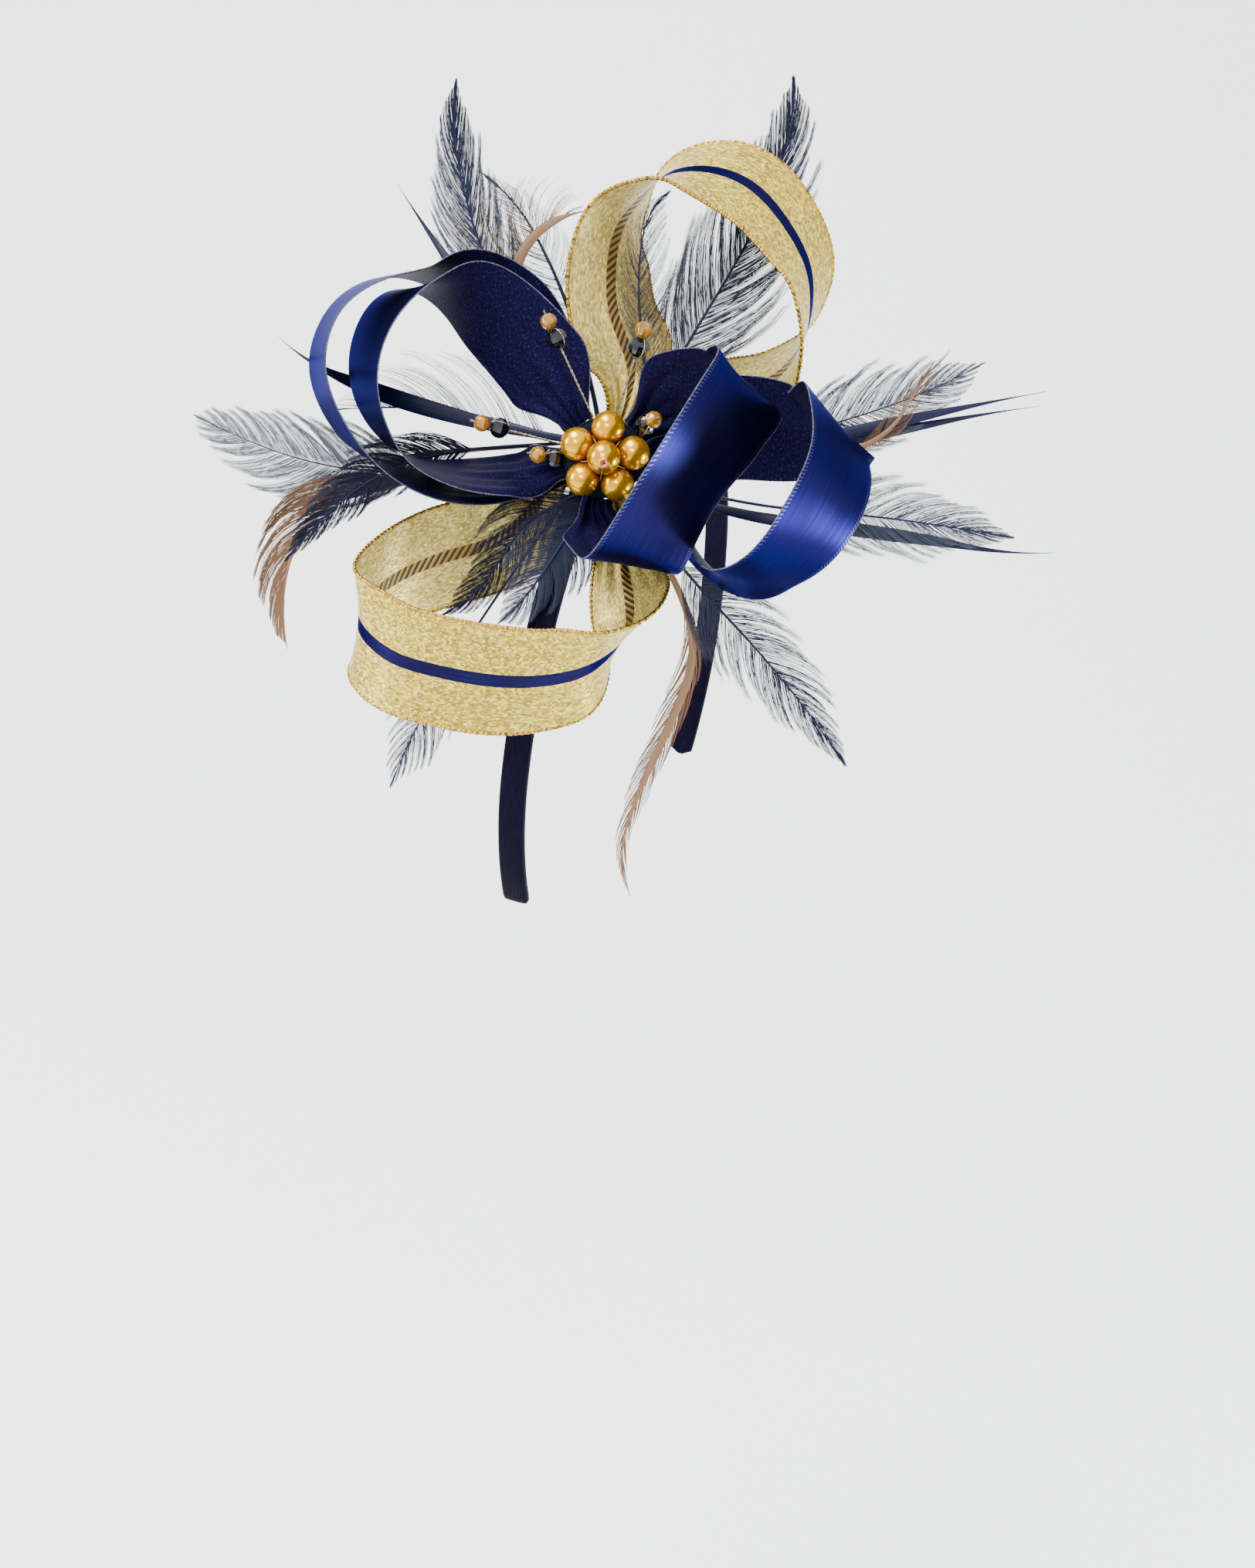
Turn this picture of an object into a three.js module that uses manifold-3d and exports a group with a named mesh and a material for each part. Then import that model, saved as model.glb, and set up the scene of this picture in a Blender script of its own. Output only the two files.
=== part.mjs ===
// A fascinator on a narrow satin hair band: ribbon loops, feathers, beaded wires and a pearl flower.
//
// Millimetres, +Z up. The origin is the middle of the band's inner face at the crown, where it sits
// on the head. The band arches in the XZ plane, +X is the wearer's left, and the face looks along -Y.
// Everything of the spray is placed in its own axes: right and up as the spray is looked at, and out
// of the head towards the onlooker.

import * as THREE from 'three';
import { mergeVertices } from 'three/addons/utils/BufferGeometryUtils.js';
import Module from 'manifold-3d';

const wasm = await Module();
wasm.setup();

const GAP = 0.3; // clearance that neighbouring pieces keep

// The hair band: half an ellipse over the head, then two legs that lean in behind the ears.
const BAND_HALF_WIDTH = 74; // inside, at its widest
const BAND_ARCH_HEIGHT = 88; // from the crown down to the widest place
const BAND_LEG_LENGTH = 39; // from there to the ends, measured down
const BAND_LEG_INSET = 11; // how far each end leans in
const BAND_WIDTH = 7;
const BAND_THICKNESS = 2.5;
const BAND_EDGE_RADIUS = 1;
const BAND_STEPS = 64;

// The spray is wired to a round core that sits on the band, part way down the wearer's right side.
const SPRAY_ARCH_ANGLE = 34; // degrees down the band's ellipse from the crown
const SPRAY_FORWARD = 1.6; // its centre lies this far towards the face
const SPRAY_TURN = 290; // degrees, where it looks
const SPRAY_LEAN = 13;
const SPRAY_ROLL = 7;
const CORE_RADIUS = 9;
const CORE_TOP = 17;
const CORE_SIDES = 28;

// Ribbons.
const RIBBON_WIDTH = 25;
const RIBBON_THICKNESS = 1;
const RIBBON_STEPS = 36;
const RIBBON_COLUMNS = 4;
const GATHERED_WIDTH = 7; // where it is bound to the core
const GATHER_LENGTH = 20; // from the core to the ribbon's full width
const STUB_LENGTH = 3; // each end stands straight out of the core for this long
const PLEAT_DEPTH = 0.7;

// Pearls and beads.
const PEARL_DIAMETER = 8;
const PEARL_SIDES = 12;
const PETALS = 5;
const PETAL_START = 81; // degrees
const SEED_BEAD_RADIUS = 1.3;
const SEED_BEAD_THICKNESS = 1.1;
const SEED_BEAD_LEAN = 15;
const STAMEN_REACH = 36;
const STAMEN_LEVEL = 15.5; // where the wires leave the core
const STAMEN_BOW = 0.3;
const STAMEN_WIRE = 1;
const TIP_BEAD_DIAMETER = 4.2;
const TIP_BEAD_HEIGHT = 3.6;
const NAVY_BEAD_DIAMETER = 5;
const NAVY_BEAD_HEIGHT = 4.4;
const BEAD_SIDES = 10;

// Feathers.
const FEATHER_REACH = 100; // the longest
const QUILL_WIDTH = 1.3;
const QUILL_THICKNESS = 1;
const FEATHER_STEPS = 12;

const NAVY_SATIN = new THREE.MeshStandardMaterial({ color: 0x1b2466, roughness: 0.35, metalness: 0 });
const GOLD_LAME = new THREE.MeshStandardMaterial({ color: 0xd9c083, roughness: 0.4, metalness: 0.5 });
const NAVY_CLOTH = new THREE.MeshStandardMaterial({ color: 0x161c3e, roughness: 0.7, metalness: 0 });
const NAVY_FEATHER = new THREE.MeshStandardMaterial({ color: 0x2a3050, roughness: 0.8, metalness: 0 });
const PALE_FEATHER = new THREE.MeshStandardMaterial({ color: 0x8d93a5, roughness: 0.8, metalness: 0 });
const TAN_FEATHER = new THREE.MeshStandardMaterial({ color: 0xb98d70, roughness: 0.8, metalness: 0 });
const GOLD_PEARL = new THREE.MeshStandardMaterial({ color: 0xe0a028, roughness: 0.2, metalness: 0.3 });
const COPPER_BEAD = new THREE.MeshStandardMaterial({ color: 0xc8743c, roughness: 0.3, metalness: 0.2 });
const AMBER_BEAD = new THREE.MeshStandardMaterial({ color: 0xd9a878, roughness: 0.15, metalness: 0 });
const NAVY_BEAD = new THREE.MeshStandardMaterial({ color: 0x10162e, roughness: 0.15, metalness: 0 });
const SILVER_WIRE = new THREE.MeshStandardMaterial({ color: 0xc9c6bd, roughness: 0.3, metalness: 1 });

const radians = THREE.MathUtils.degToRad;

// A unit vector at an angle in the spray's plane, tipped out of it.
function direction(turn, tip) {
  const flat = Math.cos(radians(tip));
  return new THREE.Vector3(
    flat * Math.cos(radians(turn)), flat * Math.sin(radians(turn)), Math.sin(radians(tip)));
}

// A place beside the core, clear of it by two gaps or further out.
function socket(angle, level, further = 0) {
  return direction(angle, 0).multiplyScalar(CORE_RADIUS + 2 * GAP + further).setZ(level);
}

// One closed solid through rings of points that run anticlockwise seen from ahead.
function loft(rings) {
  const count = rings[0].length;
  const points = rings.flat();
  const faces = [];
  const quad = (a, b, c, d) => faces.push(a, b, c, a, c, d);
  for (let s = 0; s + 1 < rings.length; s++) {
    for (let k = 0; k < count; k++) {
      const next = (k + 1) % count;
      quad(s * count + k, s * count + next, (s + 1) * count + next, (s + 1) * count + k);
    }
  }
  const last = (rings.length - 1) * count;
  for (let k = 0; k + 1 < count / 2; k++) {
    quad(k, count - 1 - k, count - 2 - k, k + 1);
    quad(last + k, last + k + 1, last + count - 2 - k, last + count - 1 - k);
  }
  const geometry = new THREE.BufferGeometry().setFromPoints(points);
  geometry.setIndex(faces);
  geometry.computeVertexNormals();
  return geometry;
}

// The band's line seen from the front. t runs from the right ear's end over the crown to the left's.
class BandArch extends THREE.Curve {
  constructor(offset) {
    super();
    this.offset = offset;
  }

  getPoint(t, target = new THREE.Vector3()) {
    const legShare = 0.17; // of the parameter, spent on each leg
    const side = t < 0.5 ? -1 : 1;
    const u = t < 0.5 ? t : 1 - t;
    const halfWidth = BAND_HALF_WIDTH + this.offset;
    if (u < legShare) {
      const down = 1 - u / legShare;
      return target.set(
        side * (halfWidth - BAND_LEG_INSET * down * down),
        0, -BAND_ARCH_HEIGHT - BAND_LEG_LENGTH * down);
    }
    const angle = Math.PI / 2 * (0.5 - u) / (0.5 - legShare);
    return target.set(
      side * halfWidth * Math.sin(angle), 0,
      -BAND_ARCH_HEIGHT + (BAND_ARCH_HEIGHT + this.offset) * Math.cos(angle));
  }
}

function makeBand() {
  const section = new THREE.Shape();
  const half = BAND_WIDTH / 2;
  const thick = BAND_THICKNESS / 2;
  section.moveTo(-half, thick);
  section.lineTo(-half, BAND_EDGE_RADIUS - thick);
  section.quadraticCurveTo(-half, -thick, BAND_EDGE_RADIUS - half, -thick);
  section.lineTo(half - BAND_EDGE_RADIUS, -thick);
  section.quadraticCurveTo(half, -thick, half, BAND_EDGE_RADIUS - thick);
  section.lineTo(half, thick);
  const geometry = new THREE.ExtrudeGeometry(section, {
    steps: BAND_STEPS, curveSegments: 2, extrudePath: new BandArch(BAND_THICKNESS / 2) });
  return new THREE.Mesh(geometry, NAVY_CLOTH);
}

// The core stands on the band: a cylinder whose foot is cut to the arch that the band lies on.
function makeCore(placing) {
  const length = CORE_TOP + 2 * CORE_RADIUS;
  const plug = new THREE.CylinderGeometry(CORE_RADIUS, CORE_RADIUS, length, CORE_SIDES);
  plug.rotateX(Math.PI / 2).translate(0, 0, CORE_TOP - length / 2);
  const rise = BAND_THICKNESS + GAP;
  const arch = new THREE.Shape();
  arch.absellipse(
    0, -BAND_ARCH_HEIGHT, BAND_HALF_WIDTH + rise, BAND_ARCH_HEIGHT + rise, 0, Math.PI, false, 0);
  const under = new THREE.ExtrudeGeometry(arch, {
    depth: 6 * CORE_RADIUS, bevelEnabled: false, curveSegments: 48 });
  under.translate(0, 0, -3 * CORE_RADIUS).rotateX(Math.PI / 2);
  under.applyMatrix4(placing.clone().invert());
  return new THREE.Mesh(backToGeometry(solid(plug).subtract(solid(under))), NAVY_CLOTH);
}

function solid(geometry) {
  const bare = geometry.clone();
  bare.deleteAttribute('normal');
  bare.deleteAttribute('uv');
  const merged = mergeVertices(bare, 1e-4);
  return new wasm.Manifold(new wasm.Mesh({
    numProp: 3,
    vertProperties: new Float32Array(merged.attributes.position.array),
    triVerts: new Uint32Array(merged.index.array) }));
}

function backToGeometry(manifold) {
  const mesh = manifold.getMesh();
  const geometry = new THREE.BufferGeometry();
  geometry.setAttribute('position', new THREE.BufferAttribute(mesh.vertProperties, 3));
  geometry.setIndex(new THREE.BufferAttribute(mesh.triVerts, 1));
  geometry.computeVertexNormals();
  return geometry;
}

// A loop of ribbon from the core and back to it. Each row is a place that the middle of the ribbon
// passes, in shares of the loop's reach, with the direction from its far edge to its near edge.
function makeLoop({ reach, leaves, returns, rows, material }) {
  const places = [
    socket(leaves.angle, leaves.level),
    socket(leaves.angle, leaves.level, STUB_LENGTH),
    ...rows.map((row) => new THREE.Vector3(row.right, row.up, row.out).multiplyScalar(reach)),
    socket(returns.angle, returns.level, STUB_LENGTH),
    socket(returns.angle, returns.level)];
  const centre = new THREE.CatmullRomCurve3(places, false, 'centripetal');
  const across = new THREE.CatmullRomCurve3(
    [leaves, leaves, ...rows, returns, returns].map((row) => direction(row.turn, row.tip)),
    false, 'catmullrom');
  const length = centre.getLength();
  const rings = [];
  for (let s = 0; s <= RIBBON_STEPS; s++) {
    const share = s / RIBBON_STEPS;
    const t = centre.getUtoTmapping(share);
    const point = centre.getPoint(t);
    const ahead = centre.getTangent(t);
    const side = across.getPoint(t).projectOnPlane(ahead).normalize();
    const facing = new THREE.Vector3().crossVectors(ahead, side);
    const opening = THREE.MathUtils.smoothstep(length * share, 0, leaves.gather * GATHER_LENGTH);
    const closing = THREE.MathUtils.smoothstep(
      length * (1 - share), 0, returns.gather * GATHER_LENGTH);
    const open = opening * closing;
    const width = THREE.MathUtils.lerp(GATHERED_WIDTH, RIBBON_WIDTH, open);
    const ring = [];
    for (const [face, order] of [[-1, 0], [1, 1]]) {
      for (let c = 0; c <= RIBBON_COLUMNS; c++) {
        const column = order ? RIBBON_COLUMNS - c : c;
        const pleat = (column % 2 ? 1 : -1) * PLEAT_DEPTH * (1 - open) / 2;
        ring.push(point.clone()
          .addScaledVector(side, width * (column / RIBBON_COLUMNS - 0.5))
          .addScaledVector(facing, face * RIBBON_THICKNESS / 2 + pleat));
      }
    }
    rings.push(ring);
  }
  return new THREE.Mesh(loft(rings), material);
}

// Where a share of the way lies in a list of values that are evenly spread over it.
function blend(values, share) {
  const along = share * (values.length - 1);
  const before = Math.min(Math.floor(along), values.length - 2);
  return THREE.MathUtils.lerp(values[before], values[before + 1], along - before);
}

// A feather's line: it leaves the core, and its heading and its slope out of the spray's plane pass
// through the given degrees in turn.
function featherLine({ angle, level, length, headings, slopes }) {
  const steps = 40;
  const stride = length * FEATHER_REACH / steps;
  const points = [socket(angle, level)];
  for (let s = 0; s < steps; s++) {
    const share = (s + 0.5) / steps;
    const ahead = direction(blend(headings, share), blend(slopes, share));
    points.push(points[s].clone().addScaledVector(ahead, stride));
  }
  return new THREE.CatmullRomCurve3(points);
}

// A feather as one thin blade: a bare quill, then a vane whose edges are cut into locks.
function makeFeather(feather, material) {
  const { vaneFrom, vaneWidth, leftShare, locks } = feather;
  const line = featherLine(feather);
  const rings = [];
  for (let s = 0; s <= FEATHER_STEPS; s++) {
    const share = s / FEATHER_STEPS;
    const point = line.getPointAt(share);
    const ahead = line.getTangentAt(share);
    const side = new THREE.Vector3(-ahead.y, ahead.x, 0).normalize();
    const facing = new THREE.Vector3().crossVectors(ahead, side).negate();
    const inVane = Math.max(0, (share - vaneFrom) / (1 - vaneFrom));
    const swell = Math.sin(Math.PI * Math.min(1, inVane * 0.72 + 0.14)) * (inVane > 0 ? 1 : 0);
    const notch = locks && s % 2 ? 0.6 : 1;
    const taper = share > 0.999 ? 0.08 : 1;
    const vane = Math.max(QUILL_WIDTH, vaneWidth * swell * notch) * taper;
    const thick = QUILL_THICKNESS * (1 - 0.5 * share);
    const left = vane * leftShare;
    const right = vane - left;
    rings.push([
      point.clone().addScaledVector(side, -right),
      point.clone().addScaledVector(facing, thick / 2),
      point.clone().addScaledVector(side, left),
      point.clone().addScaledVector(facing, -thick / 2)]);
  }
  return new THREE.Mesh(loft(rings), material);
}

function makeSeedBead() {
  const section = new THREE.Shape();
  section.absarc(0, 0, SEED_BEAD_RADIUS, 0, 2 * Math.PI, false);
  const bore = new THREE.Path();
  bore.absarc(0, 0, SEED_BEAD_RADIUS * 0.4, 0, 2 * Math.PI, true);
  section.holes.push(bore);
  const geometry = new THREE.ExtrudeGeometry(section, {
    depth: SEED_BEAD_THICKNESS, bevelEnabled: false, curveSegments: BEAD_SIDES });
  geometry.translate(0, 0, -SEED_BEAD_THICKNESS / 2).rotateX(-Math.PI / 2);
  return new THREE.Mesh(geometry, COPPER_BEAD);
}

function makePearl() {
  return new THREE.Mesh(
    new THREE.SphereGeometry(PEARL_DIAMETER / 2, PEARL_SIDES, PEARL_SIDES * 2 / 3), GOLD_PEARL);
}

// A drilled bead: a ring whose outline is round or pinched to an edge.
function makeBead(diameter, height, round, material) {
  const bore = STAMEN_WIRE / 2 + GAP;
  const shoulder = THREE.MathUtils.lerp(bore + 0.4, diameter / 2 * 0.72, round);
  const profile = [
    [bore, -height / 2], [shoulder, -height / 2], [diameter / 2, 0],
    [shoulder, height / 2], [bore, height / 2], [bore, -height / 2]];
  const geometry = new THREE.LatheGeometry(
    profile.map(([x, y]) => new THREE.Vector2(x, y)), BEAD_SIDES);
  return new THREE.Mesh(geometry, material);
}

// A stamen's wire leaves the core and bends a little to its tip.
function stamenLine({ angle, right, up, out }) {
  const start = socket(angle, STAMEN_LEVEL, GAP);
  const tip = new THREE.Vector3(right, up, out).multiplyScalar(STAMEN_REACH);
  const knee = start.clone().lerp(tip, 0.5).add(new THREE.Vector3(0, 0, STAMEN_BOW));
  return new THREE.QuadraticBezierCurve3(start, knee, tip);
}

function makeWire(line) {
  const section = new THREE.Shape();
  section.absarc(0, 0, STAMEN_WIRE / 2, 0, 2 * Math.PI, false);
  const geometry = new THREE.ExtrudeGeometry(section, {
    steps: 8, curveSegments: 6, extrudePath: line });
  return new THREE.Mesh(geometry, SILVER_WIRE);
}

// Threads a bead on a wire with its middle a given length back from the wire's end.
function thread(bead, line, back) {
  const share = 1 - back / line.getLength();
  bead.position.copy(line.getPointAt(share));
  bead.quaternion.setFromUnitVectors(new THREE.Vector3(0, 1, 0), line.getTangentAt(share));
  return bead;
}

const LOOPS = {
  navy_loop_inner: {
    reach: 58, material: NAVY_SATIN,
    leaves: { angle: 125, level: 10.8, turn: 35, tip: 15, gather: 0.8 },
    returns: { angle: 188, level: 11.5, turn: -82, tip: 10, gather: 0.8 },
    rows: [
      { right: -0.24, up: 0.37, out: 0.15, turn: 34, tip: 30 },
      { right: -0.52, up: 0.65, out: 0.09, turn: 27, tip: 32 },
      { right: -0.64, up: 0.71, out: 0.08, turn: 16, tip: 31 },
      { right: -0.71, up: 0.72, out: 0.12, turn: 4, tip: 68 },
      { right: -0.87, up: 0.67, out: 0.16, turn: -22, tip: 65 },
      { right: -1.00, up: 0.40, out: 0.20, turn: -12, tip: 65 },
      { right: -0.98, up: 0.21, out: 0.20, turn: -4, tip: 69 },
      { right: -0.87, up: 0.02, out: 0.16, turn: -2, tip: 75 },
      { right: -0.69, up: -0.05, out: 0.16, turn: -74, tip: 76 },
      { right: -0.38, up: -0.07, out: 0.16, turn: -86, tip: 70 }],
  },
  navy_loop_outer: {
    reach: 68, material: NAVY_SATIN,
    leaves: { angle: 128, level: 6.6, turn: 38, tip: 15, gather: 1.6 },
    returns: { angle: 196, level: 7.6, turn: -74, tip: 5, gather: 2 },
    rows: [
      { right: -0.18, up: 0.33, out: 0.09, turn: 34, tip: 30 },
      { right: -0.42, up: 0.57, out: 0.02, turn: 25, tip: 26 },
      { right: -0.59, up: 0.65, out: -0.01, turn: 0, tip: 66 },
      { right: -0.78, up: 0.64, out: 0.05, turn: -10, tip: 70 },
      { right: -0.94, up: 0.55, out: 0.08, turn: -16, tip: 76 },
      { right: -1.02, up: 0.33, out: 0.14, turn: -8, tip: 72 },
      { right: -0.98, up: 0.18, out: 0.14, turn: -12, tip: 72 },
      { right: -0.88, up: 0.03, out: 0.12, turn: 2, tip: 73 },
      { right: -0.64, up: -0.09, out: 0.11, turn: -74, tip: 74 },
      { right: -0.33, up: -0.11, out: 0.10, turn: -86, tip: 64 }],
  },
  gold_loop_upper: {
    reach: 70, material: GOLD_LAME,
    leaves: { angle: 66, level: 6.5, turn: 156, tip: 10, gather: 1 },
    returns: { angle: 25, level: 3.8, turn: 295, tip: 5, gather: 1.8 },
    rows: [
      { right: 0.10, up: 0.31, out: 0.08, turn: 173, tip: 22 },
      { right: 0.03, up: 0.51, out: 0.08, turn: 181, tip: 33 },
      { right: 0.05, up: 0.78, out: 0.02, turn: 183, tip: 50 },
      { right: 0.12, up: 0.88, out: 0.00, turn: 195, tip: 66 },
      { right: 0.22, up: 0.97, out: 0.00, turn: 244, tip: 64 },
      { right: 0.38, up: 0.98, out: 0.02, turn: 248, tip: 45 },
      { right: 0.53, up: 0.91, out: 0.05, turn: 243, tip: 37 },
      { right: 0.70, up: 0.67, out: 0.08, turn: 223, tip: 47 },
      { right: 0.72, up: 0.55, out: 0.08, turn: 214, tip: 61 },
      { right: 0.70, up: 0.40, out: 0.05, turn: 216, tip: 80 },
      { right: 0.60, up: 0.27, out: 0.00, turn: 307, tip: 55 },
      { right: 0.38, up: 0.19, out: 0.03, turn: 300, tip: 20 }],
  },
  gold_loop_lower: {
    reach: 62, material: GOLD_LAME,
    leaves: { angle: 197, level: 3.5, turn: 107, tip: 5, gather: 1 },
    returns: { angle: 285, level: 9.5, turn: 15, tip: 5, gather: 2 },
    rows: [
      { right: -0.28, up: -0.20, out: -0.10, turn: 122, tip: 10 },
      { right: -0.44, up: -0.33, out: -0.02, turn: 118, tip: 20 },
      { right: -0.64, up: -0.39, out: 0.02, turn: 112, tip: 17 },
      { right: -0.83, up: -0.47, out: 0.11, turn: 106, tip: 32 },
      { right: -0.96, up: -0.61, out: 0.29, turn: 83, tip: 16 },
      { right: -0.83, up: -0.74, out: 0.45, turn: 79, tip: 0 },
      { right: -0.61, up: -0.80, out: 0.55, turn: 85, tip: 0 },
      { right: -0.41, up: -0.83, out: 0.58, turn: 89, tip: 3 },
      { right: -0.24, up: -0.83, out: 0.58, turn: 89, tip: 21 },
      { right: -0.06, up: -0.79, out: 0.56, turn: 65, tip: 22 },
      { right: 0.09, up: -0.66, out: 0.48, turn: 52, tip: 38 },
      { right: 0.10, up: -0.55, out: 0.38, turn: 32, tip: 22 },
      { right: 0.08, up: -0.43, out: 0.28, turn: 8, tip: 12 }],
  },
  navy_loop_front: {
    reach: 56, material: NAVY_SATIN,
    leaves: { angle: 40, level: 12.5, turn: 130, tip: 5, gather: 1 },
    returns: { angle: 262, level: 14, turn: 172, tip: 5, gather: 1 },
    rows: [
      { right: 0.36, up: 0.27, out: 0.42, turn: 132, tip: 22 },
      { right: 0.60, up: 0.32, out: 0.59, turn: 144, tip: 48 },
      { right: 0.53, up: 0.19, out: 0.75, turn: 151, tip: 43 },
      { right: 0.43, up: 0.06, out: 0.86, turn: 157, tip: 44 },
      { right: 0.30, up: -0.13, out: 0.91, turn: 163, tip: 45 },
      { right: 0.19, up: -0.32, out: 0.85, turn: 174, tip: 34 },
      { right: 0.11, up: -0.45, out: 0.72, turn: 166, tip: 34 },
      { right: 0.04, up: -0.36, out: 0.48, turn: 170, tip: 15 }],
  },
  navy_loop_side: {
    reach: 66, material: NAVY_SATIN,
    leaves: { angle: 5, level: 8.8, turn: 95, tip: 5, gather: 1 },
    returns: { angle: 335, level: 11, turn: 65, tip: 5, gather: 2.8 },
    rows: [
      { right: 0.45, up: 0.12, out: 0.17, turn: 100, tip: 12 },
      { right: 0.74, up: 0.07, out: 0.20, turn: 100, tip: 14 },
      { right: 0.83, up: 0.10, out: 0.29, turn: 122, tip: 40 },
      { right: 0.82, up: 0.15, out: 0.42, turn: 158, tip: 64 },
      { right: 0.82, up: 0.08, out: 0.55, turn: 156, tip: 59 },
      { right: 0.84, up: 0.01, out: 0.61, turn: 162, tip: 51 },
      { right: 0.81, up: -0.08, out: 0.67, turn: 160, tip: 43 },
      { right: 0.69, up: -0.28, out: 0.73, turn: 166, tip: 39 },
      { right: 0.60, up: -0.38, out: 0.72, turn: 157, tip: 43 },
      { right: 0.50, up: -0.44, out: 0.66, turn: 142, tip: 54 },
      { right: 0.39, up: -0.41, out: 0.49, turn: 120, tip: 74 },
      { right: 0.26, up: -0.26, out: 0.32, turn: 75, tip: 70 }],
  },
};

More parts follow.
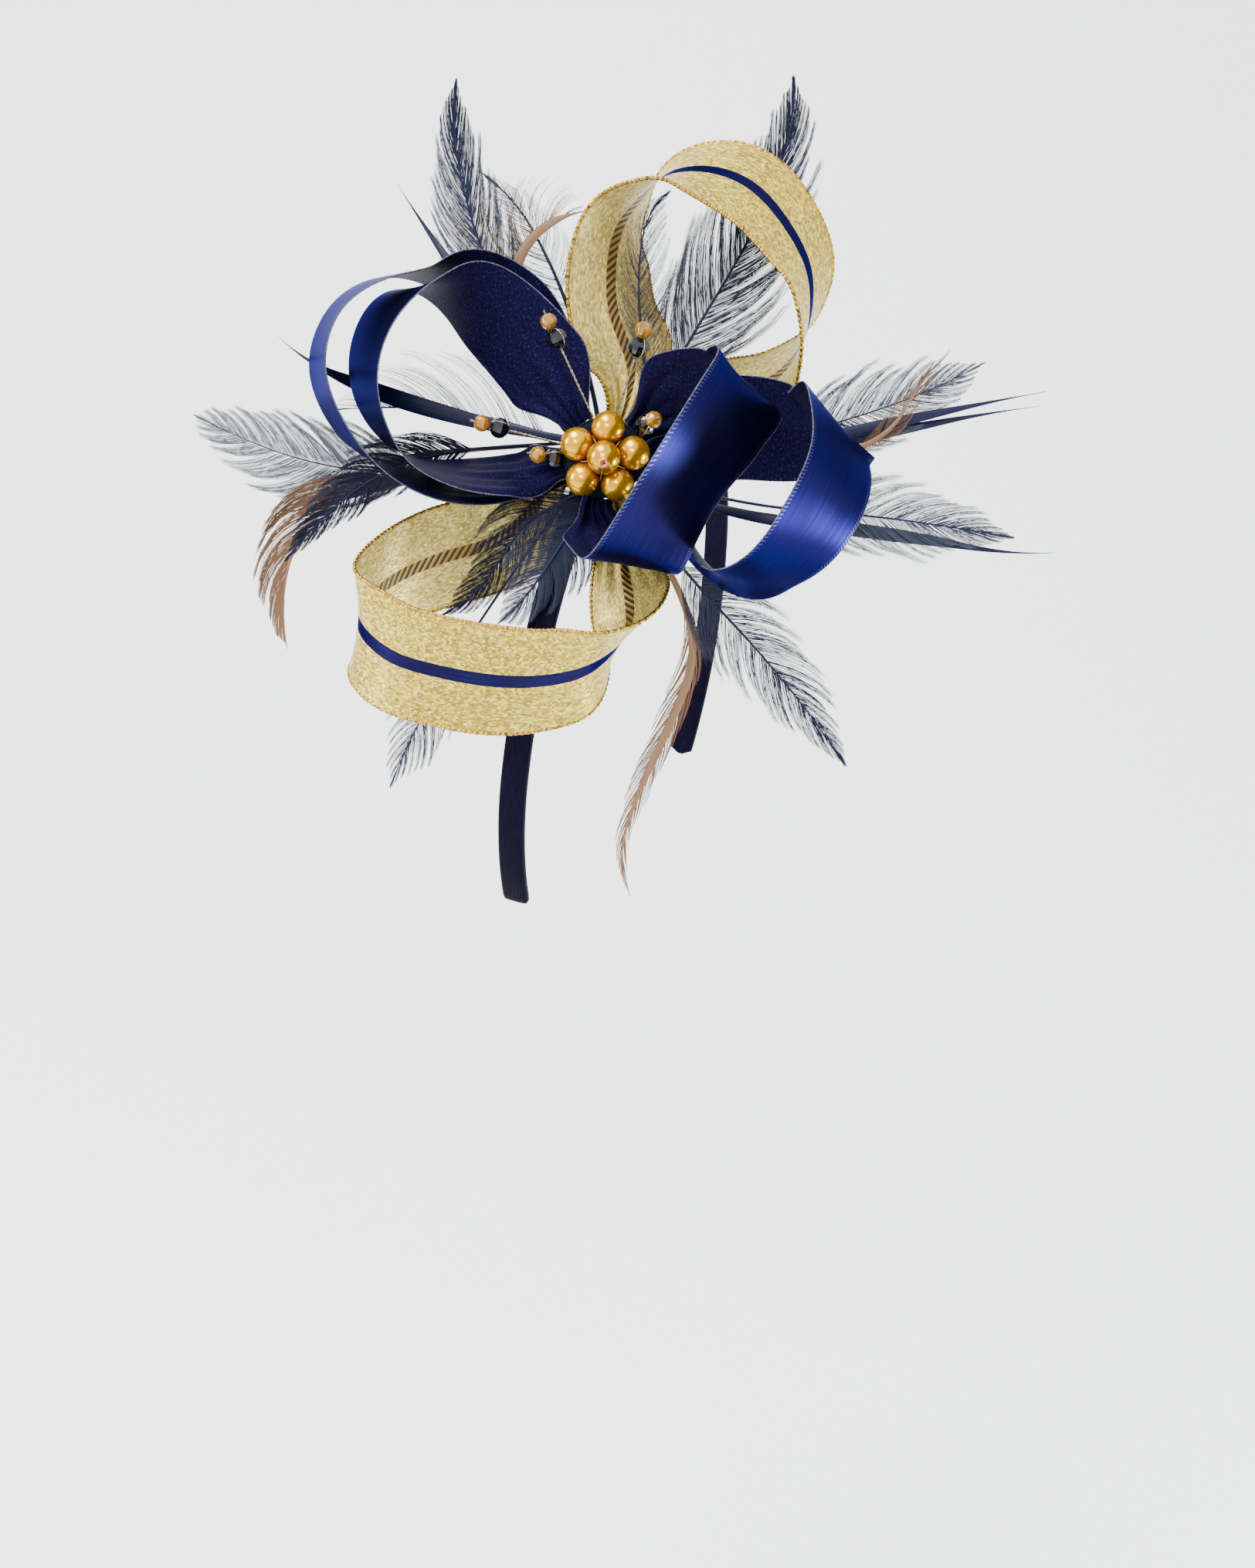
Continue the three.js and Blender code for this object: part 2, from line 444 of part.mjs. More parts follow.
// Feathers, clockwise from the top. Lengths are shares of the longest.
const FEATHERS = {
  hackle_left: {
    angle: 119, level: 1.8, length: 0.89, headings: [129, 123, 112, 102, 83], slopes: [-6, -4, 2],
    vaneFrom: 0.42, vaneWidth: 15, leftShare: 0.5, locks: true, material: NAVY_FEATHER },
  hackle_right: {
    angle: 50, level: 1.6, length: 0.96, headings: [45, 60, 58, 62, 72, 92], slopes: [-9, -6],
    vaneFrom: 0.3, vaneWidth: 20, leftShare: 0.5, locks: true, material: NAVY_FEATHER },
  spike_upper: {
    angle: 136, level: 1.6, length: 0.75, headings: [128, 127, 126, 122], slopes: [-12, -4],
    vaneFrom: 0.5, vaneWidth: 4.5, leftShare: 0.5, locks: false, material: NAVY_FEATHER },
  plume_dark_curl: {
    angle: 98, level: 2, length: 0.65, headings: [100, 106, 112, 120, 144], slopes: [-4, 2],
    vaneFrom: 0.35, vaneWidth: 9, leftShare: 0.5, locks: true, material: NAVY_FEATHER },
  plume_tan_curl: {
    angle: 108, level: 3.6, length: 0.64, headings: [120, 121, 122, 122, 70, 35, 5],
    slopes: [-9, 2, 6], vaneFrom: 0.5, vaneWidth: 12, leftShare: 0.85, locks: true,
    material: TAN_FEATHER },
  plume_inside_gold: {
    angle: 38, level: 8.8, length: 0.6, headings: [65, 90, 97, 90, 80, 39], slopes: [-10, -4],
    vaneFrom: 0.35, vaneWidth: 6, leftShare: 0.5, locks: true, material: NAVY_FEATHER },
  plume_tan_left: {
    angle: 158, level: 3.3, length: 1.07, headings: [184, 183, 186, 208, 225, 258, 278],
    slopes: [-18, -16, -8, 0], vaneFrom: 0.5, vaneWidth: 12, leftShare: 0.5, locks: true,
    material: TAN_FEATHER },
  plume_dark_left: {
    angle: 158, level: 5, length: 0.82, headings: [182, 184, 196, 220, 230],
    slopes: [-18, -13, 4], vaneFrom: 0.35, vaneWidth: 9, leftShare: 0.5, locks: true,
    material: NAVY_FEATHER },
  plume_pale_left: {
    angle: 165, level: 1.5, length: 1.03, headings: [190, 188, 186, 172, 160, 152],
    slopes: [-28, -16, 0], vaneFrom: 0.48, vaneWidth: 14, leftShare: 0.5, locks: true,
    material: PALE_FEATHER },
  spike_left: {
    angle: 152, level: 9.6, length: 0.79, headings: [172, 167, 163, 158, 138],
    slopes: [-17, -12, -8], vaneFrom: 0.3, vaneWidth: 5.5, leftShare: 0.5, locks: false,
    material: NAVY_FEATHER },
  plume_fine_left: {
    angle: 152, level: 7.8, length: 0.62, headings: [166, 164, 172, 180, 184],
    slopes: [-18, -14, -6], vaneFrom: 0.15, vaneWidth: 7, leftShare: 0.2, locks: true,
    material: NAVY_FEATHER },
  spike_lower_left: {
    angle: 179, level: 0.9, length: 0.8, headings: [184, 186, 190, 200, 190],
    slopes: [-24, -15, 2], vaneFrom: 0.45, vaneWidth: 5, leftShare: 0.5, locks: false,
    material: NAVY_FEATHER },
  plume_behind_gold: {
    angle: 226, level: 8.6, length: 0.9, headings: [232, 234, 236, 240, 248],
    slopes: [-12, -8, -2], vaneFrom: 0.7, vaneWidth: 13, leftShare: 0.5, locks: true,
    material: NAVY_FEATHER },
  plume_dark_lower: {
    angle: 236, level: 10.5, length: 0.46, headings: [206, 212, 238, 230, 205],
    slopes: [-6, -2], vaneFrom: 0.3, vaneWidth: 10, leftShare: 0.5, locks: true,
    material: NAVY_FEATHER },
  plume_grey_lower: {
    angle: 249, level: 10.8, length: 0.38, headings: [242, 238, 234, 220], slopes: [20, 0],
    vaneFrom: 0.3, vaneWidth: 13, leftShare: 0.5, locks: true, material: PALE_FEATHER },
  plume_tan_lower: {
    angle: 293, level: 5, length: 1.1, headings: [301, 306, 288, 249, 245, 252, 290],
    slopes: [33, 32, 14, -2, -8, -8, 0], vaneFrom: 0.42, vaneWidth: 11, leftShare: 0.5,
    locks: true, material: TAN_FEATHER },
  plume_dark_right: {
    angle: 304, level: 4.6, length: 0.88, headings: [303, 309, 314, 309, 304],
    slopes: [32, 32, 22, 14, 8], vaneFrom: 0.4, vaneWidth: 13, leftShare: 0.5, locks: true,
    material: NAVY_FEATHER },
  spike_lower_right: {
    angle: 328, level: 2.4, length: 1.06, headings: [336, 344, 354, 352, 350, 362],
    slopes: [28, 22, 10, 0, -4, -6], vaneFrom: 0.6, vaneWidth: 4.5, leftShare: 0.5,
    locks: false, material: NAVY_FEATHER },
  plume_grey_right: {
    angle: 338, level: 3, length: 0.93, headings: [338, 348, 356, 352, 350],
    slopes: [30, 22, 10, 0, 0], vaneFrom: 0.5, vaneWidth: 10, leftShare: 0.5, locks: true,
    material: PALE_FEATHER },
  spike_right_upper: {
    angle: 348, level: 3.6, length: 1, headings: [8, 8, 12, 12, 10], slopes: [2, 3, 2],
    vaneFrom: 0.6, vaneWidth: 4.5, leftShare: 0.5, locks: false, material: NAVY_FEATHER },
  spike_right_lower: {
    angle: 348, level: 2, length: 0.99, headings: [4, 6, 11, 11, 7], slopes: [1, 0, 0],
    vaneFrom: 0.6, vaneWidth: 4.5, leftShare: 0.5, locks: false, material: NAVY_FEATHER },
  plume_pale_right: {
    angle: 358, level: 2.8, length: 0.86, headings: [8, 9, 14, 20, 29], slopes: [3, 2, 0],
    vaneFrom: 0.5, vaneWidth: 12, leftShare: 0.5, locks: true, material: PALE_FEATHER },
  quill_tan_curl: {
    angle: 358, level: 4.9, length: 0.84, headings: [1, 1, 1, 10, 62, 45], slopes: [2, 4, 6, 4],
    vaneFrom: 0.62, vaneWidth: 4, leftShare: 0.5, locks: false, material: TAN_FEATHER },
};

// Stamens: the angle at which each wire leaves the core, and its tip in shares of their reach.
const STAMENS = {
  stamen_top_left: { angle: 105, right: -0.38, up: 0.93, out: 0.56 },
  stamen_top_right: { angle: 72, right: 0.28, up: 0.88, out: 0.56 },
  stamen_short: { angle: 38, right: 0.35, up: 0.26, out: 0.72 },
  stamen_left: { angle: 162, right: -0.86, up: 0.24, out: 0.50 },
  stamen_left_short: { angle: 182, right: -0.49, up: 0.03, out: 0.52 },
};

const fascinator = new THREE.Group();
const spray = new THREE.Group();

function add(group, name, mesh) {
  mesh.name = name;
  group.add(mesh);
}

const perch = radians(SPRAY_ARCH_ANGLE);
spray.position.set(
  -(BAND_HALF_WIDTH + BAND_THICKNESS) * Math.sin(perch), -SPRAY_FORWARD,
  (BAND_ARCH_HEIGHT + BAND_THICKNESS) * Math.cos(perch) - BAND_ARCH_HEIGHT);
spray.quaternion.setFromEuler(
  new THREE.Euler(radians(90 - SPRAY_LEAN), 0, radians(SPRAY_TURN), 'ZXY'));
spray.rotateZ(radians(SPRAY_ROLL));
spray.updateMatrix();

add(fascinator, 'hair_band', makeBand());
add(spray, 'core', makeCore(spray.matrix));
for (const [name, loop] of Object.entries(LOOPS)) {
  add(spray, name, makeLoop(loop));
}
for (const [name, feather] of Object.entries(FEATHERS)) {
  add(spray, name, makeFeather(feather, feather.material));
}

// The pearl flower: a ring of petals that just clear each other, and one pearl raised in their middle.
const petalPitch = PEARL_DIAMETER + GAP;
const ringRadius = petalPitch / 2 / Math.sin(Math.PI / PETALS);
const petalLevel = CORE_TOP + GAP + PEARL_DIAMETER / 2;
const middleLevel = petalLevel + Math.sqrt(petalPitch ** 2 - ringRadius ** 2);
for (let p = 0; p < PETALS; p++) {
  const petal = makePearl();
  petal.position.copy(direction(PETAL_START + 360 * p / PETALS, 0)).multiplyScalar(ringRadius);
  petal.position.z = petalLevel;
  add(spray, `pearl_petal_${p + 1}`, petal);
}
const middlePearl = makePearl();
middlePearl.position.z = middleLevel;
add(spray, 'pearl_middle', middlePearl);

const seedBead = makeSeedBead();
const seedLean = direction(270, 90 - SEED_BEAD_LEAN);
seedBead.position.set(0, 0, middleLevel)
  .addScaledVector(seedLean, PEARL_DIAMETER / 2 + GAP + SEED_BEAD_THICKNESS / 2);
seedBead.quaternion.setFromUnitVectors(new THREE.Vector3(0, 1, 0), seedLean);
add(spray, 'seed_bead', seedBead);

for (const [name, stamen] of Object.entries(STAMENS)) {
  const line = stamenLine(stamen);
  add(spray, `${name}_wire`, makeWire(line));
  const tipBead = makeBead(TIP_BEAD_DIAMETER, TIP_BEAD_HEIGHT, 1, AMBER_BEAD);
  add(spray, `${name}_amber`, thread(tipBead, line, TIP_BEAD_HEIGHT / 2 + GAP));
  const navyBead = makeBead(NAVY_BEAD_DIAMETER, NAVY_BEAD_HEIGHT, 0, NAVY_BEAD);
  add(spray, `${name}_navy`,
    thread(navyBead, line, TIP_BEAD_HEIGHT + 2 * GAP + NAVY_BEAD_HEIGHT / 2));
}

fascinator.add(spray);
export default fascinator;
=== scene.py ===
"""The looks of a fascinator: satin and lame ribbon loops, feathers, a pearl flower and beaded
wires on a narrow satin hair band. Metres, in the part's frame: +Z up through the crown, -Y the
face."""

import math

import bmesh
import bpy
import numpy as np
from mathutils import Matrix, Vector


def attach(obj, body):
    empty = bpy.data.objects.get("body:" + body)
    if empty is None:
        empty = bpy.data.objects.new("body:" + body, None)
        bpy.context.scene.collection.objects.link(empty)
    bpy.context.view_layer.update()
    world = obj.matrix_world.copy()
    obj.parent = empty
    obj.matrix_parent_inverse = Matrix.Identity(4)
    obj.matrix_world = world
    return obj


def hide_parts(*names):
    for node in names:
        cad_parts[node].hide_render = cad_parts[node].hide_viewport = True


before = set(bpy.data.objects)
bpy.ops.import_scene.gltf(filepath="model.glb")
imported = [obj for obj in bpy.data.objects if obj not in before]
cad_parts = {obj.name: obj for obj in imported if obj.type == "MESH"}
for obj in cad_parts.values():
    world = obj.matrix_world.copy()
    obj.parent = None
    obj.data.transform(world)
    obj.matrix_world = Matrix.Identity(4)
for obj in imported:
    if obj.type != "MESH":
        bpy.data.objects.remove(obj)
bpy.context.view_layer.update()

# Sizes shared with the solids, in millimetres.
MM = 0.001
GAP = 0.3
BAND_HALF_WIDTH = 74
BAND_ARCH_HEIGHT = 88
BAND_LEG_LENGTH = 39
BAND_LEG_INSET = 11
BAND_LEG_SHARE = 0.17
BAND_WIDTH = 7
BAND_THICKNESS = 2.5
SPRAY_ARCH_ANGLE = 34
SPRAY_FORWARD = 1.6
SPRAY_TURN = 290
SPRAY_LEAN = 13
SPRAY_ROLL = 7
CORE_RADIUS = 9
CORE_TOP = 17
STUB_LENGTH = 3
RIBBON_WIDTH = 25
GATHERED_WIDTH = 7
GATHER_LENGTH = 20
PEARL_DIAMETER = 8
PETALS = 5
PETAL_START = 81
SEED_BEAD_RADIUS = 1.3
SEED_BEAD_THICKNESS = 1.1
SEED_BEAD_LEAN = 15
STAMEN_REACH = 36
STAMEN_LEVEL = 15.5
STAMEN_BOW = 0.3
TIP_BEAD_DIAMETER = 4.2
TIP_BEAD_HEIGHT = 3.6
NAVY_BEAD_DIAMETER = 5
NAVY_BEAD_HEIGHT = 4.4
FEATHER_REACH = 100

# Sizes of the finish, in millimetres.
CLOTH_THICKNESS = 0.4
RIBBON_STATIONS = 220
RIBBON_COLUMNS = 25
STRIPE_COLUMNS = 3
STITCH_PITCH = 0.9
STITCH_REACH = 1.0
STITCH_SLANT = 0.5
PLEATS = 4.5
PLEAT_HEIGHT = 0.75
PLEAT_REACH = 36
EDGE_RADIUS = {"navy": 0.17, "gold": 0.48}
EDGE_STITCH = {"navy": 0.8, "gold": 1.15}
WIRE_STRAND = 0.17
WIRE_PITCH = 2.4
BARB_RADIUS = 0.052
BARB_SEGMENTS = 5
LOCK_SPACING = 3.0
THREAD_SIDES = 6
QUILL_STATIONS = 60
BLADE_STATIONS = 70
BLADE_SIDES = 10
BARB_SIDES = 3
FLOWER_THREAD_RADIUS = 0.11
BAND_STATIONS = 180
BAND_SIDES = 24
BAND_SQUARENESS = 0.36
BINDING_RADIUS = 0.36
BINDING_PITCH = 0.64
BINDING_FOOT = 2.5
BINDING_SIDES = 5

# The photograph's view.
VIEW_TURN = 288
VIEW_RISE = 22
VIEW_ROLL = 0.13
VIEW_DISTANCE = 0.560
VIEW_TARGET = (-0.00025, -0.00495, -0.11436)
VIEW_LENS = 45.02
FLOOR_LEVEL = -0.55
FLOOR_SIZE = 12
FLOOR_FORWARD = 3.6
SWEEP_HEIGHT = 4
SWEEP_RADIUS = 1.8


def direction(turn, tip):
    """A unit vector at an angle in the spray's plane, tipped out of it. Degrees."""
    flat = math.cos(math.radians(tip))
    return Vector((
        flat * math.cos(math.radians(turn)),
        flat * math.sin(math.radians(turn)),
        math.sin(math.radians(tip))))


def socket(angle, level, further=0):
    """A place beside the core, in the spray's own millimetres."""
    place = direction(angle, 0) * (CORE_RADIUS + 2 * GAP + further)
    place.z = level
    return place


def spray_placing():
    perch = math.radians(SPRAY_ARCH_ANGLE)
    hub = Vector((
        -(BAND_HALF_WIDTH + BAND_THICKNESS) * math.sin(perch), -SPRAY_FORWARD,
        (BAND_ARCH_HEIGHT + BAND_THICKNESS) * math.cos(perch) - BAND_ARCH_HEIGHT))
    turned = (
        Matrix.Rotation(math.radians(SPRAY_TURN), 4, "Z")
        @ Matrix.Rotation(math.radians(90 - SPRAY_LEAN), 4, "X")
        @ Matrix.Rotation(math.radians(SPRAY_ROLL), 4, "Z"))
    return Matrix.Scale(MM, 4) @ Matrix.Translation(hub) @ turned


SPRAY = spray_placing()
SPRAY_ARRAY = np.array(SPRAY)


def to_part(points):
    """The spray's millimetres to the part's metres, for an array of points."""
    return points @ SPRAY_ARRAY[:3, :3].T + SPRAY_ARRAY[:3, 3]


def smooth_step(value, low, high):
    share = np.clip((value - low) / (high - low), 0, 1)
    return share * share * (3 - 2 * share)


def cubic(before, start, end, after, steps, share):
    """One stretch of a spline through start and end, with the given spans of its parameter."""
    first, middle, last = steps
    leave = ((start - before) / first - (end - before) / (first + middle)
             + (end - start) / middle) * middle
    arrive = ((end - start) / middle - (after - start) / (middle + last)
              + (after - end) / last) * middle
    square = (-3 * start + 3 * end - 2 * leave - arrive) * share ** 2
    cube = (2 * start - 2 * end + leave + arrive) * share ** 3
    return start + leave * share + square + cube


def spline(points, shares, by_distance):
    """Points on a smooth line through the given ones, at shares of its parameter."""
    points = np.array([list(p) for p in points], float)
    whole = np.vstack([2 * points[0] - points[1], points, 2 * points[-1] - points[-2]])
    spans = len(points) - 1
    found = []
    for share in shares:
        along = share * spans
        k = min(int(along), spans - 1)
        four = whole[k:k + 4]
        if by_distance:
            steps = [max(np.linalg.norm(four[n + 1] - four[n]), 1e-6) ** 0.5 for n in range(3)]
        else:
            steps = [1, 1, 1]
        found.append(cubic(*four, steps, along - k))
    return np.array(found)


def even_shares(points, count):
    """Shares of a line's parameter that cut it into stretches of even length, and its length."""
    fine = np.linspace(0, 1, 401)
    line = spline(points, fine, True)
    run = distances(line)
    return np.interp(np.linspace(0, run[-1], count), run, fine), run[-1]


def evened(values, run, spread):
    """The values with their sudden changes spread out along the run. Both ends stay."""
    step = run[1] - run[0]
    reach = int(3 * spread / step)
    weights = np.exp(-0.5 * (np.arange(-reach, reach + 1) * step / spread) ** 2)
    padded = np.pad(values, ((reach, reach), (0, 0)), "edge")
    soft = np.stack([
        np.convolve(padded[:, axis], weights / weights.sum(), "valid") for axis in range(3)], 1)
    keep = smooth_step(np.minimum(run, run[-1] - run), 2, 3 * spread)[:, None]
    return values + (soft - values) * keep


def unit(vectors):
    return vectors / np.linalg.norm(vectors, axis=-1, keepdims=True)


def new_piece(name, points, faces, materials, face_slots=None, uvs=None):
    """A mesh object from points in metres. uvs holds one pair for each point."""
    mesh = bpy.data.meshes.new(name)
    mesh.from_pydata(points.tolist(), [], faces)
    for material in materials:
        mesh.materials.append(material)
    if face_slots is not None:
        mesh.polygons.foreach_set("material_index", face_slots)
    if uvs is not None:
        layer = mesh.uv_layers.new(name="weave")
        corner = np.empty(len(mesh.loops), np.int32)
        mesh.loops.foreach_get("vertex_index", corner)
        layer.data.foreach_set("uv", np.asarray(uvs, np.float32)[corner].ravel())
    mesh.update()
    piece = bpy.data.objects.new(name, mesh)
    bpy.context.scene.collection.objects.link(piece)
    return piece


def only(piece):
    bpy.ops.object.select_all(action="DESELECT")
    piece.select_set(True)
    bpy.context.view_layer.objects.active = piece


def smooth(piece, angle):
    only(piece)
    bpy.ops.object.shade_smooth_by_angle(angle=math.radians(angle))


def settle(piece, place):
    """Puts an object's own place, turn and size into its mesh, and then moves the mesh by place."""
    piece.data.transform(place @ piece.matrix_basis)
    piece.matrix_basis = Matrix.Identity(4)


def bevel(piece, width, segments):
    only(piece)
    edge = piece.modifiers.new("bevel", "BEVEL")
    edge.width = width
    edge.segments = segments
    bpy.ops.object.modifier_apply(modifier=edge.name)


def dress(piece, slot, *nodes, angle=80):
    """Hangs a piece on the root body and hides the solids that it stands for; slot is not used.
    Edges sharper than the angle stay sharp, and at 0 all of them do."""
    if angle:
        smooth(piece, angle)
    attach(piece, "root")
    if nodes:
        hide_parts(*nodes)


def circle(sides):
    return 2 * math.pi * np.arange(sides) / sides


def distances(line):
    """How far each point of a line lies from its start, along it."""
    return np.concatenate([[0], np.cumsum(np.linalg.norm(np.diff(line, axis=0), axis=1))])


def sampled(places, own, line):
    return np.stack([np.interp(places, own, line[:, axis]) for axis in range(3)], 1)


def bent(start, knee, end, count):
    """Points on a curve from start to end that is drawn towards a knee."""
    t = np.linspace(0, 1, count)[:, None]
    return (1 - t) ** 2 * start + 2 * t * (1 - t) * knee + t ** 2 * end


def beside(line, side, facing, aside, above):
    """Points beside each point of a line: so far along side and so far along facing."""
    return (
        line[..., None, :] + side[..., None, :] * aside[..., None]
        + facing[..., None, :] * above[..., None])


def wrapped(around, along):
    """Weave coordinates for rings of points: a value round each ring and one along the line."""
    return np.stack([np.tile(around, len(along)), np.repeat(along, len(around))], 1)


def untwisted(line):
    """Two directions across a line at each of its points, which don't twist along it."""
    ahead = unit(np.gradient(line, axis=0))
    first = np.cross(ahead[0], [0.0, 0.0, 1.0])
    if np.linalg.norm(first) < 0.2:
        first = np.cross(ahead[0], [0.0, 1.0, 0.0])
    normals = [first / np.linalg.norm(first)]
    for k in range(1, len(line)):
        turned = normals[-1] - ahead[k] * normals[-1].dot(ahead[k])
        normals.append(turned / np.linalg.norm(turned))
    return np.array(normals), np.cross(ahead, normals)


def tube(line, radius, sides):
    """Rings of points round a line. radius may vary along it."""
    reach = np.broadcast_to(radius, len(line))[:, None]
    turns = circle(sides)
    return beside(line, *untwisted(line), reach * np.cos(turns), reach * np.sin(turns))


def skin(rings):
    """Closed faces over rings that run anticlockwise seen from ahead."""
    count, sides = rings.shape[:2]
    faces = []
    for s in range(count - 1):
        for k in range(sides):
            after = (k + 1) % sides
            faces.append([s * sides + k, s * sides + after,
                          (s + 1) * sides + after, (s + 1) * sides + k])
    faces.append(list(range(sides))[::-1])
    faces.append([(count - 1) * sides + k for k in range(sides)])
    return rings.reshape(-1, 3), faces


class Gatherer:
    """Collects closed shapes into one mesh."""

    def __init__(self):
        self.points = []
        self.faces = []
        self.uvs = []
        self.slots = []
        self.count = 0

    def add(self, points, faces, uvs=None, slot=0):
        self.points.append(points)
        self.faces += [[corner + self.count for corner in face] for face in faces]
        self.uvs.append(np.zeros((len(points), 2)) if uvs is None else uvs)
        self.slots += [slot] * len(faces)
        self.count += len(points)

    def strand(self, line, radius, sides=THREAD_SIDES, uvs=None, slot=0):
        self.add(*skin(tube(line, radius, sides)), uvs, slot)

    def piece(self, name, materials):
        return new_piece(
            name, to_part(np.vstack(self.points)), self.faces, materials,
            self.slots, np.vstack(self.uvs))


# Materials.

def linear(code):
    """A sRGB hex colour as linear red, green, blue and alpha."""
    values = [int(code[k:k + 2], 16) / 255 for k in (1, 3, 5)]
    return tuple(
        v / 12.92 if v <= 0.04045 else ((v + 0.055) / 1.055) ** 2.4 for v in values) + (1.0,)


def add_node(tree, kind, inputs=None, **settings):
    """Adds a node. A value in inputs is a setting or another node's output."""
    node = tree.nodes.new(kind)
    for key, value in settings.items():
        setattr(node, key, value)
    for key, value in (inputs or {}).items():
        if isinstance(value, bpy.types.NodeSocket):
            tree.links.new(value, node.inputs[key])
        else:
            node.inputs[key].default_value = value
    return node


def new_material(name, **constants):
    """A material with one surface shader. Returns it, its tree and the shader."""
    material = bpy.data.materials.new(name)
    material.use_nodes = True
    tree = material.node_tree
    tree.nodes.clear()
    shader = add_node(tree, "ShaderNodeBsdfPrincipled", constants)
    output = add_node(tree, "ShaderNodeOutputMaterial")
    tree.links.new(shader.outputs["BSDF"], output.inputs["Surface"])
    return material, tree, shader


def weave_coordinates(tree, across, along):
    """The piece's own millimetres across and along the cloth, stretched."""
    uv = add_node(tree, "ShaderNodeUVMap", uv_map="weave")
    return add_node(tree, "ShaderNodeMapping", {
        "Vector": uv.outputs["UV"], "Scale": (across, along, 1)}).outputs["Vector"]


def ramp(tree, factor, *stops):
    """A colour ramp through (place, hex colour) stops."""
    node = add_node(tree, "ShaderNodeValToRGB", {"Fac": factor})
    while len(node.color_ramp.elements) < len(stops):
        node.color_ramp.elements.new(0.5)
    for element, (place, code) in zip(node.color_ramp.elements, stops):
        element.position = place
        element.color = linear(code)
    return node.outputs["Color"]


def noise(tree, place, scale=1.0, detail=2.0, **more):
    """Soft noise over a place, as a value from 0 to 1."""
    return add_node(tree, "ShaderNodeTexNoise", {
        "Vector": place, "Scale": scale, "Detail": detail, **more}).outputs["Fac"]


def part_place(tree):
    return add_node(tree, "ShaderNodeTexCoord").outputs["Object"]


def sum_of(tree, operation, *values):
    return add_node(
        tree, "ShaderNodeMath", dict(enumerate(values)), operation=operation).outputs["Value"]


def colour(tree, shader, factor, *stops):
    tree.links.new(ramp(tree, factor, *stops), shader.inputs["Base Color"])


def bump(tree, shader, height, strength, distance):
    """Raises the surface by a pattern. distance is in metres."""
    tree.links.new(add_node(tree, "ShaderNodeBump", {
        "Height": height, "Strength": strength, "Distance": distance,
    }).outputs["Normal"], shader.inputs["Normal"])


def stitch_rows(tree, cloth, thread):
    """Lays the slanting stitches of the overlocked edge over a cloth's colour."""
    uv = add_node(tree, "ShaderNodeUVMap", uv_map="weave")
    place = add_node(tree, "ShaderNodeSeparateXYZ", {"Vector": uv.outputs["UV"]})
    inward = sum_of(tree, "PINGPONG", place.outputs["X"], RIBBON_WIDTH / 2)
    slant = sum_of(tree, "MULTIPLY_ADD", inward, STITCH_SLANT, place.outputs["Y"])
    beat = sum_of(tree, "MULTIPLY", slant, 2 * math.pi / STITCH_PITCH)
    drawn = sum_of(tree, "GREATER_THAN", sum_of(tree, "SINE", beat), 0.5)
    near = sum_of(tree, "LESS_THAN", inward, STITCH_REACH)
    return add_node(tree, "ShaderNodeMixRGB", {
        "Fac": sum_of(tree, "MULTIPLY", drawn, near), "Color1": cloth, "Color2": linear(thread),
    }).outputs["Color"]


def noisy(name, stops, stretch=None, scale=1.0, detail=2.0, grit=0.5, relief=None, **constants):
    """A material whose colour, and its relief if any, follow one noise: over the cloth's own
    millimetres where stretch is given, or else over the part."""
    material, tree, shader = new_material(name, **constants)
    place = weave_coordinates(tree, *stretch) if stretch else part_place(tree)
    pattern = noise(tree, place, scale, detail, Roughness=grit)
    colour(tree, shader, pattern, *stops)
    if relief:
        bump(tree, shader, pattern, *relief)
    return material


def satin_face():
    """Double-faced polyester satin, its right side: long floating threads give a deep blue sheen
    in broad soft bands, streaked lengthwise, between two rows of edge stitches."""
    material, tree, shader = new_material(
        "navy polyester satin", Metallic=0.93, Roughness=0.33, Anisotropic=0.3, **{
            "Specular IOR Level": 0.1, "Specular Tint": linear("#5058c0")})
    threads = noise(tree, weave_coordinates(tree, 2.2, 0.06), detail=3.0)
    cloud = noise(tree, weave_coordinates(tree, 0.05, 0.05), detail=1.0)
    streaks = sum_of(tree, "MULTIPLY", threads, cloud)
    dyed = ramp(tree, streaks, (0.12, "#15122e"), (0.42, "#1f1c48"))
    tree.links.new(stitch_rows(tree, dyed, "#403e62"), shader.inputs["Base Color"])
    bump(tree, shader, threads, 0.15, 0.00006)
    return material


def lame(name, dark, middle, bright, roughness):
    """Woven lame: flat metal-coated yarn across a cream ground, whose tiny facets sparkle: partly
    through bumps and roughness, partly through glints painted flake by flake.
    """
    material, tree, shader = new_material(name, Metallic=0.62)
    flakes = add_node(tree, "ShaderNodeTexVoronoi", {
        "Vector": weave_coordinates(tree, 2.6, 1.3), "Scale": 1.0})
    yarn = noise(tree, weave_coordinates(tree, 3.2, 0.5))
    flake = add_node(tree, "ShaderNodeSeparateColor", {"Color": flakes.outputs["Color"]})
    # Each flake's tone is partly the yarn's own gold and cream and partly a painted glint.
    mixed = sum_of(tree, "MULTIPLY", flake.outputs["Red"], yarn)
    colour(tree, shader, mixed, (0.05, dark), (0.3, middle), (0.62, bright))
    spread = add_node(tree, "ShaderNodeMapRange", {
        "Value": flake.outputs["Green"], "To Min": roughness, "To Max": roughness + 0.25})
    tree.links.new(spread.outputs["Result"], shader.inputs["Roughness"])
    bump(tree, shader, mixed, 0.4, 0.00018)
    return material


